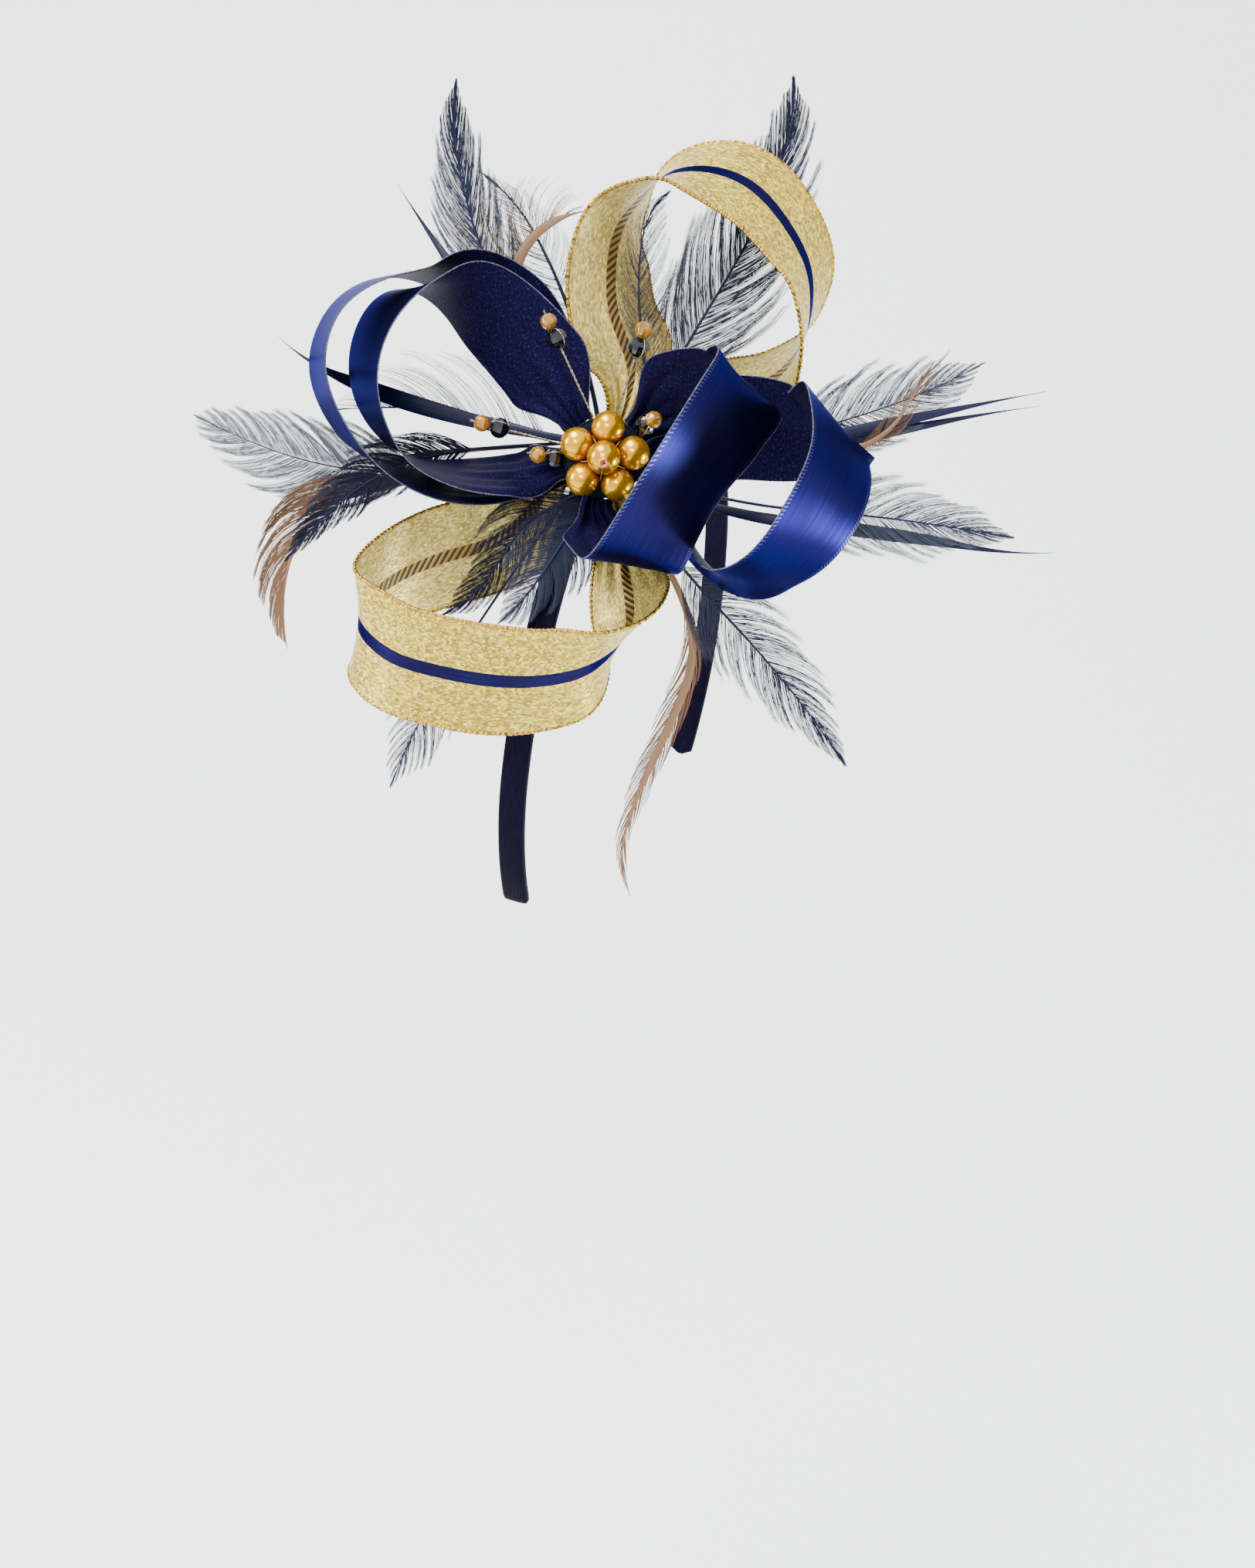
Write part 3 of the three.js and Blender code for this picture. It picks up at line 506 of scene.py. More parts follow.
def twill_stripe():
    """The wrong side of the centre stripe: antique gold twill, drawn in slanting ribs."""
    material, tree, shader = new_material("antique gold twill", Metallic=0.6, Roughness=0.42)
    ribs = add_node(tree, "ShaderNodeTexWave", {
        "Vector": weave_coordinates(tree, 1.0, 1.0), "Scale": 0.32, "Distortion": 0.6,
        "Detail": 1.0}, bands_direction="DIAGONAL").outputs["Fac"]
    colour(tree, shader, ribs, (0.2, "#2c200a"), (0.75, "#86682c"))
    bump(tree, shader, ribs, 0.6, 0.0002)
    return material


def barb_material(name, *stops):
    """Dyed feather barbs, dry and softly lit. The first weave value is the barb's own tone and the
    second is the way along it, towards a slightly paler tip: painted light, for the light that
    shows through the thin ends."""
    material, tree, shader = new_material(name, Roughness=0.6, **{"Specular IOR Level": 0.15})
    uv = add_node(tree, "ShaderNodeUVMap", uv_map="weave")
    parts = add_node(tree, "ShaderNodeSeparateXYZ", {"Vector": uv.outputs["UV"]})
    # Paler towards each barb's tip: painted light showing through the thin ends.
    shade = sum_of(tree, "MULTIPLY_ADD", parts.outputs["Y"], 0.14, parts.outputs["X"])
    colour(tree, shader, shade, *stops)
    return material


def quill_material(name, dark, bright):
    """A stripped feather's horny stem or blade: glossy, with fine grain running lengthwise."""
    return noisy(
        name, [(0.3, dark), (0.7, bright)], (3.0, 0.09), detail=3.0, relief=(0.4, 0.00015),
        Roughness=0.35, **{"Specular IOR Level": 0.2})


def silver_plate():
    """Silver-plated craft wire, bright with slightly dull hollows."""
    material, tree, shader = new_material("silver plated wire", Metallic=1.0)
    tarnish = noise(tree, part_place(tree), 700.0)
    colour(tree, shader, tarnish, (0.3, "#5c5440"), (0.7, "#aca080"))
    wear = add_node(tree, "ShaderNodeMapRange", {
        "Value": tarnish, "To Min": 0.18, "To Max": 0.4})
    tree.links.new(wear.outputs["Result"], shader.inputs["Roughness"])
    return material


SATIN_FACE = satin_face()
# The satin's wrong side: a flat dull navy weave, flecked with painted glints of sheen where the
# cross threads surface.
SATIN_BACK = noisy(
    "navy satin wrong side", [(0.45, "#0e0b24"), (0.60, "#15112e"), (0.74, "#30367c")],
    (1.1, 3.4), grit=0.7, relief=(0.4, 0.00012), Metallic=0.15, Roughness=0.5, **{
        "Specular IOR Level": 0.03, "Specular Tint": linear("#2c3a98")})
LAME_FACE = lame("gold lame", "#866f1e", "#b39a38", "#f0d866", 0.28)
LAME_BACK = lame("gold lame wrong side", "#94813c", "#bca658", "#e4d28a", 0.36)
TWILL = twill_stripe()
# Overlocked edges: a tight row of small loops that catch the light one by one.
SILVER_EDGE = noisy(
    "silver grey edge thread", [(0.35, "#14142c"), (0.65, "#4e5068")], (1.0, 1.7),
    Metallic=0.3, Roughness=0.45)
GOLD_EDGE = noisy(
    "gold edge thread", [(0.35, "#4e3a10"), (0.65, "#c89c34")], (1.0, 1.7),
    Metallic=0.85, Roughness=0.26)
# Narrow navy satin drawn tight over the band: a dark, even, faintly ribbed sheen.
BAND_CLOTH = noisy(
    "navy satin wrap", [(0.3, "#0b0814"), (0.7, "#120e20")], (2.6, 0.25), detail=3.0,
    relief=(0.3, 0.0001), Metallic=0.6, Roughness=0.42, **{
        "Specular IOR Level": 0.1, "Specular Tint": linear("#141c4c")})
# Navy cotton thread wound tightly round the stems: dull and fuzzy.
CORE_CLOTH = noisy(
    "wound navy thread", [(0.3, "#04060f"), (0.7, "#0c1026")], scale=900.0, detail=3.0,
    relief=(0.7, 0.0004), Roughness=0.75, **{"Specular IOR Level": 0.1})
NAVY_BARBS = barb_material(
    "navy dyed barbs", (0.05, "#05071c"), (0.3, "#0d1128"), (0.62, "#2a2f42"), (1.0, "#62666f"))
TAN_BARBS = barb_material("tan barbs", (0.0, "#382618"), (0.4, "#664a34"), (1.0, "#907058"))
NAVY_QUILL = quill_material("navy stripped quill", "#030520", "#090e34")
TAN_QUILL = quill_material("tan stripped quill", "#583e2c", "#88684e")
# Glass pearls dipped in golden lacquer: deep amber yellow under a bright clear gloss.
PEARL = noisy(
    "golden pearl lacquer", [(0.35, "#c08a00"), (0.65, "#d49c00")], scale=260.0, detail=1.0,
    Metallic=0.8, Roughness=0.24, **{
        "Specular Tint": linear("#8c6606"), "Coat Weight": 0.3, "Coat Roughness": 0.06})
# A copper-lined seed bead: a warm metallic core under clear glass.
COPPER = noisy(
    "copper lined glass", [(0.3, "#b85c2a"), (0.7, "#e08a50")], scale=1500.0,
    Metallic=0.5, Roughness=0.18, **{"Coat Weight": 0.8})
# Fire-polished champagne glass: pale amber, half clear, with facets that flash.
CHAMPAGNE = noisy(
    "champagne fire polished glass", [(0.3, "#80500c"), (0.7, "#c48c2c")], scale=500.0,
    Metallic=0.2, Roughness=0.08, IOR=1.5, **{"Transmission Weight": 0.35, "Coat Weight": 0.6})
# Fire-polished glass of so deep a navy that it looks black between its bright facets.
NAVY_GLASS = noisy(
    "navy fire polished glass", [(0.3, "#020308"), (0.7, "#050816")], scale=400.0,
    Roughness=0.12, IOR=1.45, **{"Coat Weight": 0.2})
SILVER = silver_plate()

# Ribbon loops, as in the solids. outer is +1 where the right side faces along ahead x side.
LOOPS = {
    "navy_loop_inner": dict(
        reach=58, cloth="navy", outer=1, seed=3, ease=12,
        leaves=(125, 10.8, 35, 15, 0.8), returns=(188, 11.5, -82, 10, 0.8),
        rows=[(-0.24, 0.37, 0.15, 34, 30), (-0.52, 0.65, 0.09, 27, 32), (-0.64, 0.71, 0.08, 16, 31),
              (-0.71, 0.72, 0.12, 4, 68), (-0.87, 0.67, 0.16, -22, 65),
              (-1.00, 0.40, 0.20, -12, 65), (-0.98, 0.21, 0.20, -4, 69),
              (-0.87, 0.02, 0.16, -2, 75), (-0.69, -0.05, 0.16, -74, 76),
              (-0.38, -0.07, 0.16, -86, 70)]),
    "navy_loop_outer": dict(
        reach=68, cloth="navy", outer=1, seed=5, ease=10,
        leaves=(128, 6.6, 38, 15, 1.6), returns=(196, 7.6, -74, 5, 2),
        rows=[(-0.18, 0.33, 0.09, 34, 30), (-0.42, 0.57, 0.02, 25, 26), (-0.59, 0.65, -0.01, 0, 66),
              (-0.78, 0.64, 0.05, -10, 70), (-0.94, 0.55, 0.08, -16, 76),
              (-1.02, 0.33, 0.14, -8, 72), (-0.98, 0.18, 0.14, -12, 72),
              (-0.88, 0.03, 0.12, 2, 73), (-0.64, -0.09, 0.11, -74, 74),
              (-0.33, -0.11, 0.10, -86, 64)]),
    "gold_loop_upper": dict(
        reach=70, cloth="gold", outer=-1, seed=7, ease=6,
        leaves=(66, 6.5, 156, 10, 1), returns=(25, 3.8, 295, 5, 1.8),
        rows=[(0.10, 0.31, 0.08, 173, 22), (0.03, 0.51, 0.08, 181, 33), (0.05, 0.78, 0.02, 183, 50),
              (0.12, 0.88, 0.00, 195, 66), (0.22, 0.97, 0.00, 244, 64), (0.38, 0.98, 0.02, 248, 45),
              (0.53, 0.91, 0.05, 243, 37), (0.70, 0.67, 0.08, 223, 47),
              (0.72, 0.55, 0.08, 214, 61), (0.70, 0.40, 0.05, 216, 80),
              (0.60, 0.27, 0.00, 307, 55), (0.38, 0.19, 0.03, 300, 20)]),
    "gold_loop_lower": dict(
        reach=62, cloth="gold", outer=1, seed=11, ease=5,
        leaves=(197, 3.5, 107, 5, 1), returns=(285, 9.5, 15, 5, 2),
        rows=[(-0.28, -0.20, -0.10, 122, 10), (-0.44, -0.33, -0.02, 118, 20),
              (-0.64, -0.39, 0.02, 112, 17), (-0.83, -0.47, 0.11, 106, 32),
              (-0.96, -0.61, 0.29, 83, 16), (-0.83, -0.74, 0.45, 79, 0),
              (-0.61, -0.80, 0.55, 85, 0), (-0.41, -0.83, 0.58, 89, 3),
              (-0.24, -0.83, 0.58, 89, 21), (-0.06, -0.79, 0.56, 65, 22),
              (0.09, -0.66, 0.48, 52, 38), (0.10, -0.55, 0.38, 32, 22),
              (0.08, -0.43, 0.28, 8, 12)]),
    "navy_loop_front": dict(
        reach=56, cloth="navy", outer=-1, seed=13, ease=8,
        leaves=(40, 12.5, 130, 5, 1), returns=(262, 14, 172, 5, 1),
        rows=[(0.36, 0.27, 0.42, 132, 22), (0.60, 0.32, 0.59, 144, 48), (0.53, 0.19, 0.75, 151, 43),
              (0.43, 0.06, 0.86, 157, 44), (0.30, -0.13, 0.91, 163, 45),
              (0.19, -0.32, 0.85, 174, 34), (0.11, -0.45, 0.72, 166, 34),
              (0.04, -0.36, 0.48, 170, 15)]),
    "navy_loop_side": dict(
        reach=66, cloth="navy", outer=-1, seed=17, ease=13,
        leaves=(5, 8.8, 95, 5, 1), returns=(335, 11, 65, 5, 2.8),
        rows=[(0.45, 0.12, 0.17, 100, 12), (0.74, 0.07, 0.20, 100, 14), (0.83, 0.10, 0.29, 122, 40),
              (0.82, 0.15, 0.42, 158, 64), (0.82, 0.08, 0.55, 156, 59), (0.84, 0.01, 0.61, 162, 51),
              (0.81, -0.08, 0.67, 160, 43), (0.69, -0.28, 0.73, 166, 39),
              (0.60, -0.38, 0.72, 157, 43), (0.50, -0.44, 0.66, 142, 54),
              (0.39, -0.41, 0.49, 120, 74), (0.26, -0.26, 0.32, 75, 70)]),
}


def ribbon_sheet(loop):
    """Points over a loop's middle surface, stations by columns, with its facing and its length."""
    leave_angle, leave_level, leave_turn, leave_tip, leave_gather = loop["leaves"]
    back_angle, back_level, back_turn, back_tip, back_gather = loop["returns"]
    rows = loop["rows"]
    places = (
        [socket(leave_angle, leave_level), socket(leave_angle, leave_level, STUB_LENGTH)]
        + [Vector(row[:3]) * loop["reach"] for row in rows]
        + [socket(back_angle, back_level, STUB_LENGTH), socket(back_angle, back_level)])
    turns = (
        [(leave_turn, leave_tip)] * 2 + [row[3:] for row in rows] + [(back_turn, back_tip)] * 2)
    shares, length = even_shares(places, RIBBON_STATIONS)
    middle = spline(places, shares, True)
    across = spline([direction(*turn) for turn in turns], shares, False)
    run = np.linspace(0, length, RIBBON_STATIONS)
    middle = evened(middle, run, loop["ease"] * 0.5)
    across = evened(across, run, loop["ease"])
    ahead = unit(np.gradient(middle, axis=0))
    side = unit(across - ahead * (across * ahead).sum(1)[:, None])
    facing = np.cross(ahead, side)
    opening = smooth_step(run, 0, leave_gather * GATHER_LENGTH)
    closing = smooth_step(length - run, 0, back_gather * GATHER_LENGTH)
    open_share = opening * closing
    width = GATHERED_WIDTH + (RIBBON_WIDTH - GATHERED_WIDTH) * open_share
    columns = np.linspace(-0.5, 0.5, RIBBON_COLUMNS + 1)
    near_end = np.minimum(run, length - run)
    pleated = (1 - smooth_step(near_end, 0, PLEAT_REACH)) * PLEAT_HEIGHT
    phase = loop["seed"] * 1.7
    folds = (
        0.7 * np.sin(2 * math.pi * PLEATS * columns + phase)
        + 0.5 * np.sin(2 * math.pi * (PLEATS * 0.6) * columns + 2.3 * phase))
    wave = 0.12 * np.sin(run / 11 + phase)[:, None] * np.sin(3 * columns + phase)[None]
    lift = pleated[:, None] * folds[None] + wave
    points = beside(middle, side, facing, width[:, None] * columns[None], lift)
    return points, facing, side, width, length


def ribbon_piece(name, loop):
    points, facing, side, width, length = ribbon_sheet(loop)
    stations, columns = points.shape[:2]
    outward = facing * loop["outer"]
    half = CLOTH_THICKNESS / 2
    right_side = points + outward[:, None] * half
    wrong_side = points - outward[:, None] * half
    run = np.linspace(0, length, stations)
    uv = np.stack(np.broadcast_arrays(
        np.linspace(0, RIBBON_WIDTH, columns)[None], run[:, None]), axis=-1).reshape(-1, 2)
    layer = stations * columns
    faces = []
    slots = []
    stripe = range((RIBBON_COLUMNS - STRIPE_COLUMNS) // 2, (RIBBON_COLUMNS + STRIPE_COLUMNS) // 2)
    gold = loop["cloth"] == "gold"
    for s in range(stations - 1):
        for c in range(columns - 1):
            a, b = s * columns + c, s * columns + c + 1
            d, e = a + columns, b + columns
            upper = [a, b, e, d] if loop["outer"] > 0 else [a, d, e, b]
            faces.append(upper)
            slots.append(2 if gold and c in stripe else 0)
            faces.append([layer + k for k in upper[::-1]])
            slots.append(3 if gold and c in stripe else 1)
    rim = (
        [s * columns for s in range(stations)]
        + [(stations - 1) * columns + c for c in range(1, columns)]
        + [s * columns + columns - 1 for s in range(stations - 2, -1, -1)]
        + [c for c in range(columns - 2, 0, -1)])
    for k, here in enumerate(rim):
        after = rim[(k + 1) % len(rim)]
        strip = [here, after, layer + after, layer + here]
        faces.append(strip if loop["outer"] > 0 else strip[::-1])
        slots.append(1)
    materials = [LAME_FACE, LAME_BACK, SATIN_FACE, TWILL] if gold else [SATIN_FACE, SATIN_BACK]
    cloth = new_piece(
        name + "_ribbon", to_part(np.vstack([*right_side, *wrong_side])), faces, materials, slots,
        np.vstack([uv, uv]))
    edges = Gatherer()
    radius = EDGE_RADIUS[loop["cloth"]]
    stitch = EDGE_STITCH[loop["cloth"]]
    count = int(length / stitch * 4)
    places = np.linspace(0, 1, count)
    for column, outside in ((0, -1), (columns - 1, 1)):
        line = points[:, column] + side * outside * radius * 0.6
        fine = sampled(places, np.linspace(0, 1, stations), line)
        beat = np.abs(np.sin(math.pi * places * length / stitch))
        edges.strand(
            fine, radius * (0.62 + 0.5 * beat),
            uvs=wrapped(np.arange(THREAD_SIDES) / THREAD_SIDES, places * length))
    trim = edges.piece(name + "_edges", [GOLD_EDGE if gold else SILVER_EDGE])
    slot = "gold_lame" if gold else "navy_satin"
    dress(cloth, slot, name, angle=40)
    dress(trim, slot, angle=60)


# Feathers, as in the solids, clockwise from the top. vane: where it starts and its full width.
# spread: the barbs' angle from the quill at the vane's foot and at its tip, in degrees.
# tone: from 0, dark, to 1, pale, at the foot and at the tip. draw: how far locks close up.
FEATHERS = {
    "hackle_left": dict(
        angle=119, level=1.8, length=0.89, headings=[129, 123, 112, 102, 83], slopes=[-6, -4, 2],
        vane=(0.28, 17), barbs=900, spread=(15, 10), tone=(0.78, 0.08), fluff=0.35),
    "hackle_right": dict(
        angle=50, level=1.6, length=0.96, headings=[45, 60, 58, 62, 72, 92], slopes=[-9, -6],
        vane=(0.12, 26), barbs=1250, spread=(19, 9), tone=(0.68, 0.1), fluff=0.4),
    "spike_upper": dict(
        angle=136, level=1.6, length=0.75, headings=[128, 127, 126, 122], slopes=[-12, -4],
        blade=2.6),
    "plume_dark_curl": dict(
        angle=98, level=2, length=0.65, headings=[100, 106, 112, 120, 144], slopes=[-4, 2],
        vane=(0.25, 16), left=0.6, barbs=330, spread=(30, 22), tone=(0.45, 0.5), fluff=0.5,
        quill=0.6, draw=0.3),
    "plume_tan_curl": dict(
        angle=108, level=3.6, length=0.64, headings=[120, 121, 122, 122, 70, 35, 5],
        slopes=[-9, 2, 6], vane=(0.55, 17), left=1.0, barbs=78, spread=(52, 30), tone=(0.1, 0.25),
        colour="tan", fluff=0.1, blade=2.6, taper=0.85, draw=0.1, barb=0.1),
    "plume_inside_gold": dict(
        angle=38, level=8.8, length=0.6, headings=[65, 90, 97, 90, 80, 39], slopes=[-10, -4],
        vane=(0.2, 15), left=0.35, barbs=260, spread=(20, 14), tone=(0.5, 0.5), fluff=0.6,
        draw=0.6),
    "plume_tan_left": dict(
        angle=158, level=3.3, length=1.07, headings=[184, 183, 186, 208, 225, 258, 278],
        slopes=[-18, -16, -8, 0], vane=(0.5, 10), left=0.04, barbs=520, spread=(15, 12),
        tone=(0.2, 0.6), colour="tan", fluff=0.06, draw=0.25, barb=0.11, blade=1.6),
    "plume_dark_left": dict(
        angle=158, level=5, length=0.82, headings=[182, 184, 196, 220, 230], slopes=[-18, -13, 4],
        vane=(0.3, 13), left=0.4, barbs=700, spread=(20, 20), tone=(0.1, 0.16), fluff=0.35,
        draw=0.5, barb=0.08),
    "plume_pale_left": dict(
        angle=165, level=1.5, length=1.03, headings=[190, 188, 186, 172, 160, 152],
        slopes=[-28, -16, 0], vane=(0.4, 21), barbs=950, spread=(18, 24), tone=(0.7, 1.0),
        colour="grey", fluff=0.2, quill=0.3, draw=0.45, blunt=0.5),
    "spike_left": dict(
        angle=152, level=9.6, length=0.79, headings=[172, 167, 163, 158, 138],
        slopes=[-17, -12, -8], blade=4.2),
    "plume_fine_left": dict(
        angle=152, level=7.8, length=0.62, headings=[166, 164, 172, 180, 184],
        slopes=[-18, -14, -6], vane=(0.1, 15), left=0.06, barbs=240, spread=(26, 12),
        tone=(0.5, 0.3), fluff=0.3, draw=0.2),
    "spike_lower_left": dict(
        angle=179, level=0.9, length=0.8, headings=[184, 186, 190, 200, 190], slopes=[-24, -15, 2],
        blade=3.6),
    "plume_behind_gold": dict(
        angle=226, level=8.6, length=0.9, headings=[232, 234, 236, 240, 248], slopes=[-12, -8, -2],
        vane=(0.55, 17), left=0.55, barbs=380, spread=(19, 14), tone=(0.55, 0.6), fluff=0.3,
        draw=0.7),
    "plume_dark_lower": dict(
        angle=236, level=10.5, length=0.46, headings=[206, 212, 238, 230, 205], slopes=[-6, -2],
        vane=(0.0, 15), barbs=620, spread=(18, 16), tone=(0.2, 0.1), fluff=0.4, draw=0.6),
    "plume_grey_lower": dict(
        angle=249, level=10.8, length=0.38, headings=[242, 238, 234, 220], slopes=[20, 0],
        vane=(0.0, 21), barbs=650, spread=(24, 26), tone=(0.3, 0.72), colour="grey", fluff=0.2,
        quill=0.45, draw=0.5),
    "plume_tan_lower": dict(
        angle=293, level=5, length=1.1, headings=[301, 306, 288, 249, 245, 252, 290],
        slopes=[33, 32, 14, -2, -8, -8, 0], vane=(0.3, 6), left=0.45, barbs=260, spread=(8, 9),
        tone=(0.4, 0.4), colour="tan", fluff=0.08, draw=0.6, barb=0.08, blade=2.0),
    "plume_dark_right": dict(
        angle=304, level=4.6, length=0.88, headings=[303, 309, 314, 309, 304],
        slopes=[32, 32, 22, 14, 8], vane=(0.3, 18), barbs=620, spread=(25, 14), tone=(0.5, 0.15),
        fluff=0.4),
    "spike_lower_right": dict(
        angle=328, level=2.4, length=1.06, headings=[336, 344, 354, 352, 350, 362],
        slopes=[28, 22, 10, 0, -4, -6], blade=3.2),
    "plume_grey_right": dict(
        angle=338, level=3, length=0.93, headings=[338, 348, 356, 352, 350],
        slopes=[30, 22, 10, 0, 0], vane=(0.4, 19), barbs=620, spread=(22, 16), tone=(0.7, 0.5),
        colour="grey", fluff=0.4),
    "spike_right_upper": dict(
        angle=348, level=3.6, length=1, headings=[8, 8, 12, 12, 10], slopes=[2, 3, 2], blade=2.7),
    "spike_right_lower": dict(
        angle=348, level=2, length=0.99, headings=[4, 6, 11, 11, 7], slopes=[1, 0, 0], blade=2.4),
    "plume_pale_right": dict(
        angle=358, level=2.8, length=0.86, headings=[8, 9, 14, 20, 29], slopes=[3, 2, 0],
        vane=(0.4, 20), barbs=620, spread=(22, 22), tone=(0.6, 0.8), colour="grey", fluff=0.25,
        quill=0.3),
    "quill_tan_curl": dict(
        angle=358, level=4.9, length=0.84, headings=[1, 1, 1, 10, 62, 45], slopes=[2, 4, 6, 4],
        vane=(0.62, 5), barbs=120, spread=(14, 12), tone=(0.3, 0.3), colour="tan", fluff=0.1,
        blade=1.3),
}
USUAL_FEATHER = dict(
    colour="navy", left=0.5, quill=0.4, draw=0.5, blunt=0.8, barb=BARB_RADIUS, taper=0.6)
FEATHER_FINISH = {
    "navy": (NAVY_QUILL, NAVY_BARBS, "navy_feather"),
    "grey": (NAVY_QUILL, NAVY_BARBS, "pale_feather"),
    "tan": (TAN_QUILL, TAN_BARBS, "tan_feather"),
}


def spread_values(values, shares):
    return np.interp(shares, np.linspace(0, 1, len(values)), values)


def feather_line(feather, count):
    """The quill's line, even along its length, with its ahead, side and facing directions."""
    steps = 80
    shares = (np.arange(steps) + 0.5) / steps
    stride = feather["length"] * FEATHER_REACH / steps
    headings = spread_values(feather["headings"], shares)
    slopes = spread_values(feather["slopes"], shares)
    points = [np.array(socket(feather["angle"], feather["level"]))]
    for heading, slope in zip(headings, slopes):
        points.append(points[-1] + np.array(direction(heading, slope)) * stride)
    points = np.array(points)
    places = np.linspace(0, 1, count)
    own = np.linspace(0, 1, steps + 1)
    line = sampled(places, own, points)
    ahead = unit(np.gradient(line, axis=0))
    side = unit(np.stack([-ahead[:, 1], ahead[:, 0], np.zeros(count)], 1))
    facing = np.cross(ahead, side)
    return line, ahead, side, facing


def blade_shape(gather, feather, slot):
    """A stripped, flat, pointed feather: a lens section with a ridge, widest past its middle."""
    line, ahead, side, facing = feather_line(feather, BLADE_STATIONS)
    share = np.linspace(0, 1, BLADE_STATIONS)
    wide = feather["blade"] * (
        0.38 + 0.62 * np.sin(math.pi * np.clip(share * 0.9, 0, 1)) ** 1.5) * (
        1 - smooth_step(share, feather["taper"], 1.02)) + 0.12
    thick = 0.5 * (1 - 0.75 * share) + 0.08
    turns = circle(BLADE_SIDES)
    rings = beside(
        line, side, facing, wide[:, None] / 2 * np.cos(turns), thick[:, None] / 2 * np.sin(turns))
    run = share * feather["length"] * FEATHER_REACH
    gather.add(*skin(rings), wrapped(np.cos(turns) * 2, run), slot)


def quill_shape(gather, feather, slot):
    line, _, _, _ = feather_line(feather, QUILL_STATIONS)
    share = np.linspace(0, 1, QUILL_STATIONS)
    radius = feather["quill"] * (1 - share) ** 0.7 + 0.06
    run = share * feather["length"] * FEATHER_REACH
    gather.strand(
        line, radius, uvs=wrapped(np.arange(THREAD_SIDES) * 0.3, run), slot=slot)


def barb_shapes(gather, feather, slot, chance):
    """The vane's bare strands. Each is a tapered three-sided hair that leaves the quill sideways,
    bends forward along it and draws together with its neighbours in a lock."""
    start, vane_width = feather["vane"]
    foot, tip = feather["spread"]
    fluff = feather["fluff"]
    samples = 500
    line, ahead, side, facing = feather_line(feather, samples)
    length = feather["length"] * FEATHER_REACH
    t = np.linspace(0, 1, BARB_SEGMENTS + 1)
    rounds = circle(BARB_SIDES)
    for hand, portion in ((1, feather["left"]), (-1, 1 - feather["left"])):
        count = int(feather["barbs"] * min(1, portion * 2))
        if portion < 0.02 or count < 4:
            continue
        within = np.sort(chance.random(count))
        root = (start + (1 - start) * within) * length
        lean = np.tan(np.radians(foot + (tip - foot) * within))
        locks = max(3, int((1 - start) * length / LOCK_SPACING))
        lock = np.minimum(
            (within * locks + chance.normal(0, 0.22, count)).clip(0).astype(int), locks - 1)
        scale = (1 + 0.13 * chance.normal(0, 1, locks))[lock] * (
            1 + (0.05 + 0.12 * fluff) * chance.normal(0, 1, count))
        left_over = (1 - start) * length * (1 - within) + 1.5
        forward = vane_width * portion / lean * scale.clip(0.4, 1.5)
        forward = forward * left_over / (forward + left_over)
        reached = within + forward / ((1 - start) * length + 1.5)
        width = vane_width * portion * scale * np.sin(
            math.pi * np.clip(0.2 + 0.8 * reached, 0, 1)).clip(0, 1) ** feather["blunt"]
        width = np.minimum(width, forward * lean * 1.6)
        members = np.maximum(np.bincount(lock, minlength=locks), 1)
        draw = feather["draw"]
        end = root + forward
        end += draw * ((np.bincount(lock, end, locks) / members)[lock] - end)
        width += draw * ((np.bincount(lock, width, locks) / members)[lock] - width)
        rise = (
            fluff * 2.6 * chance.normal(0, 1, locks)[lock]
            + fluff * 1.6 * chance.normal(0, 1, count)) * width / (vane_width * 0.5)
        along = root[:, None] + (end - root)[:, None] * t[None]
        aside = hand * width[:, None] * (1 - (1 - t[None]) ** 1.7)
        aside += hand * 0.5 * fluff * chance.normal(0, 1, (count, 1)) * np.sin(2.6 * t)[None] ** 2
        above = rise[:, None] * t[None] ** 1.5
        rank = np.clip((along / length * (samples - 1)).astype(int), 0, samples - 1)
        beyond = np.clip(along - length, 0, None)
        place = (
            line[rank] + ahead[rank] * beyond[..., None]
            + side[rank] * aside[..., None] + facing[rank] * above[..., None])
        heads = unit(np.gradient(place, axis=1))
        first = unit(np.cross(heads, facing[rank] + 1e-4))
        second = np.cross(heads, first)
        thick = feather["barb"] * (1 - 0.72 * t)
        rings = beside(
            place, first, second, thick[:, None] * np.cos(rounds), thick[:, None] * np.sin(rounds))
        low, high = feather["tone"]
        tone = low + (high - low) * within ** 1.5 + 0.07 * chance.normal(0, 1, count)
        for b in range(count):
            gather.add(*skin(rings[b]), wrapped(np.full(BARB_SIDES, tone[b]), t), slot)


def feather_piece(name, spec, chance):
    feather = USUAL_FEATHER | spec
    stem, strands, slot = FEATHER_FINISH[feather["colour"]]
    gather = Gatherer()
    if "blade" in feather:
        blade_shape(gather, feather, 0)
    else:
        quill_shape(gather, feather, 0)
    if "vane" in feather:
        barb_shapes(gather, feather, 1, chance)
    dress(gather.piece(name + "_feather", [stem, strands]), slot, name)


# The pearl flower and the beaded wires.
STAMENS = {
    "stamen_top_left": (105, -0.38, 0.93, 0.56),
    "stamen_top_right": (72, 0.28, 0.88, 0.56),
    "stamen_short": (38, 0.35, 0.26, 0.72),
    "stamen_left": (162, -0.86, 0.24, 0.50),
    "stamen_left_short": (182, -0.49, 0.03, 0.52),
}


def just_added(name, material):
    """The shape that was just added in the spray, named, coloured and taken to the part's frame."""
    piece = bpy.context.object
    piece.name = name
    piece.data.materials.append(material)
    settle(piece, SPRAY)
    return piece


def pearl_piece(name, place, node):
    bpy.ops.mesh.primitive_uv_sphere_add(
        segments=40, ring_count=24, radius=PEARL_DIAMETER / 2, location=place)
    dress(just_added(name, PEARL), "gold_pearl", node)


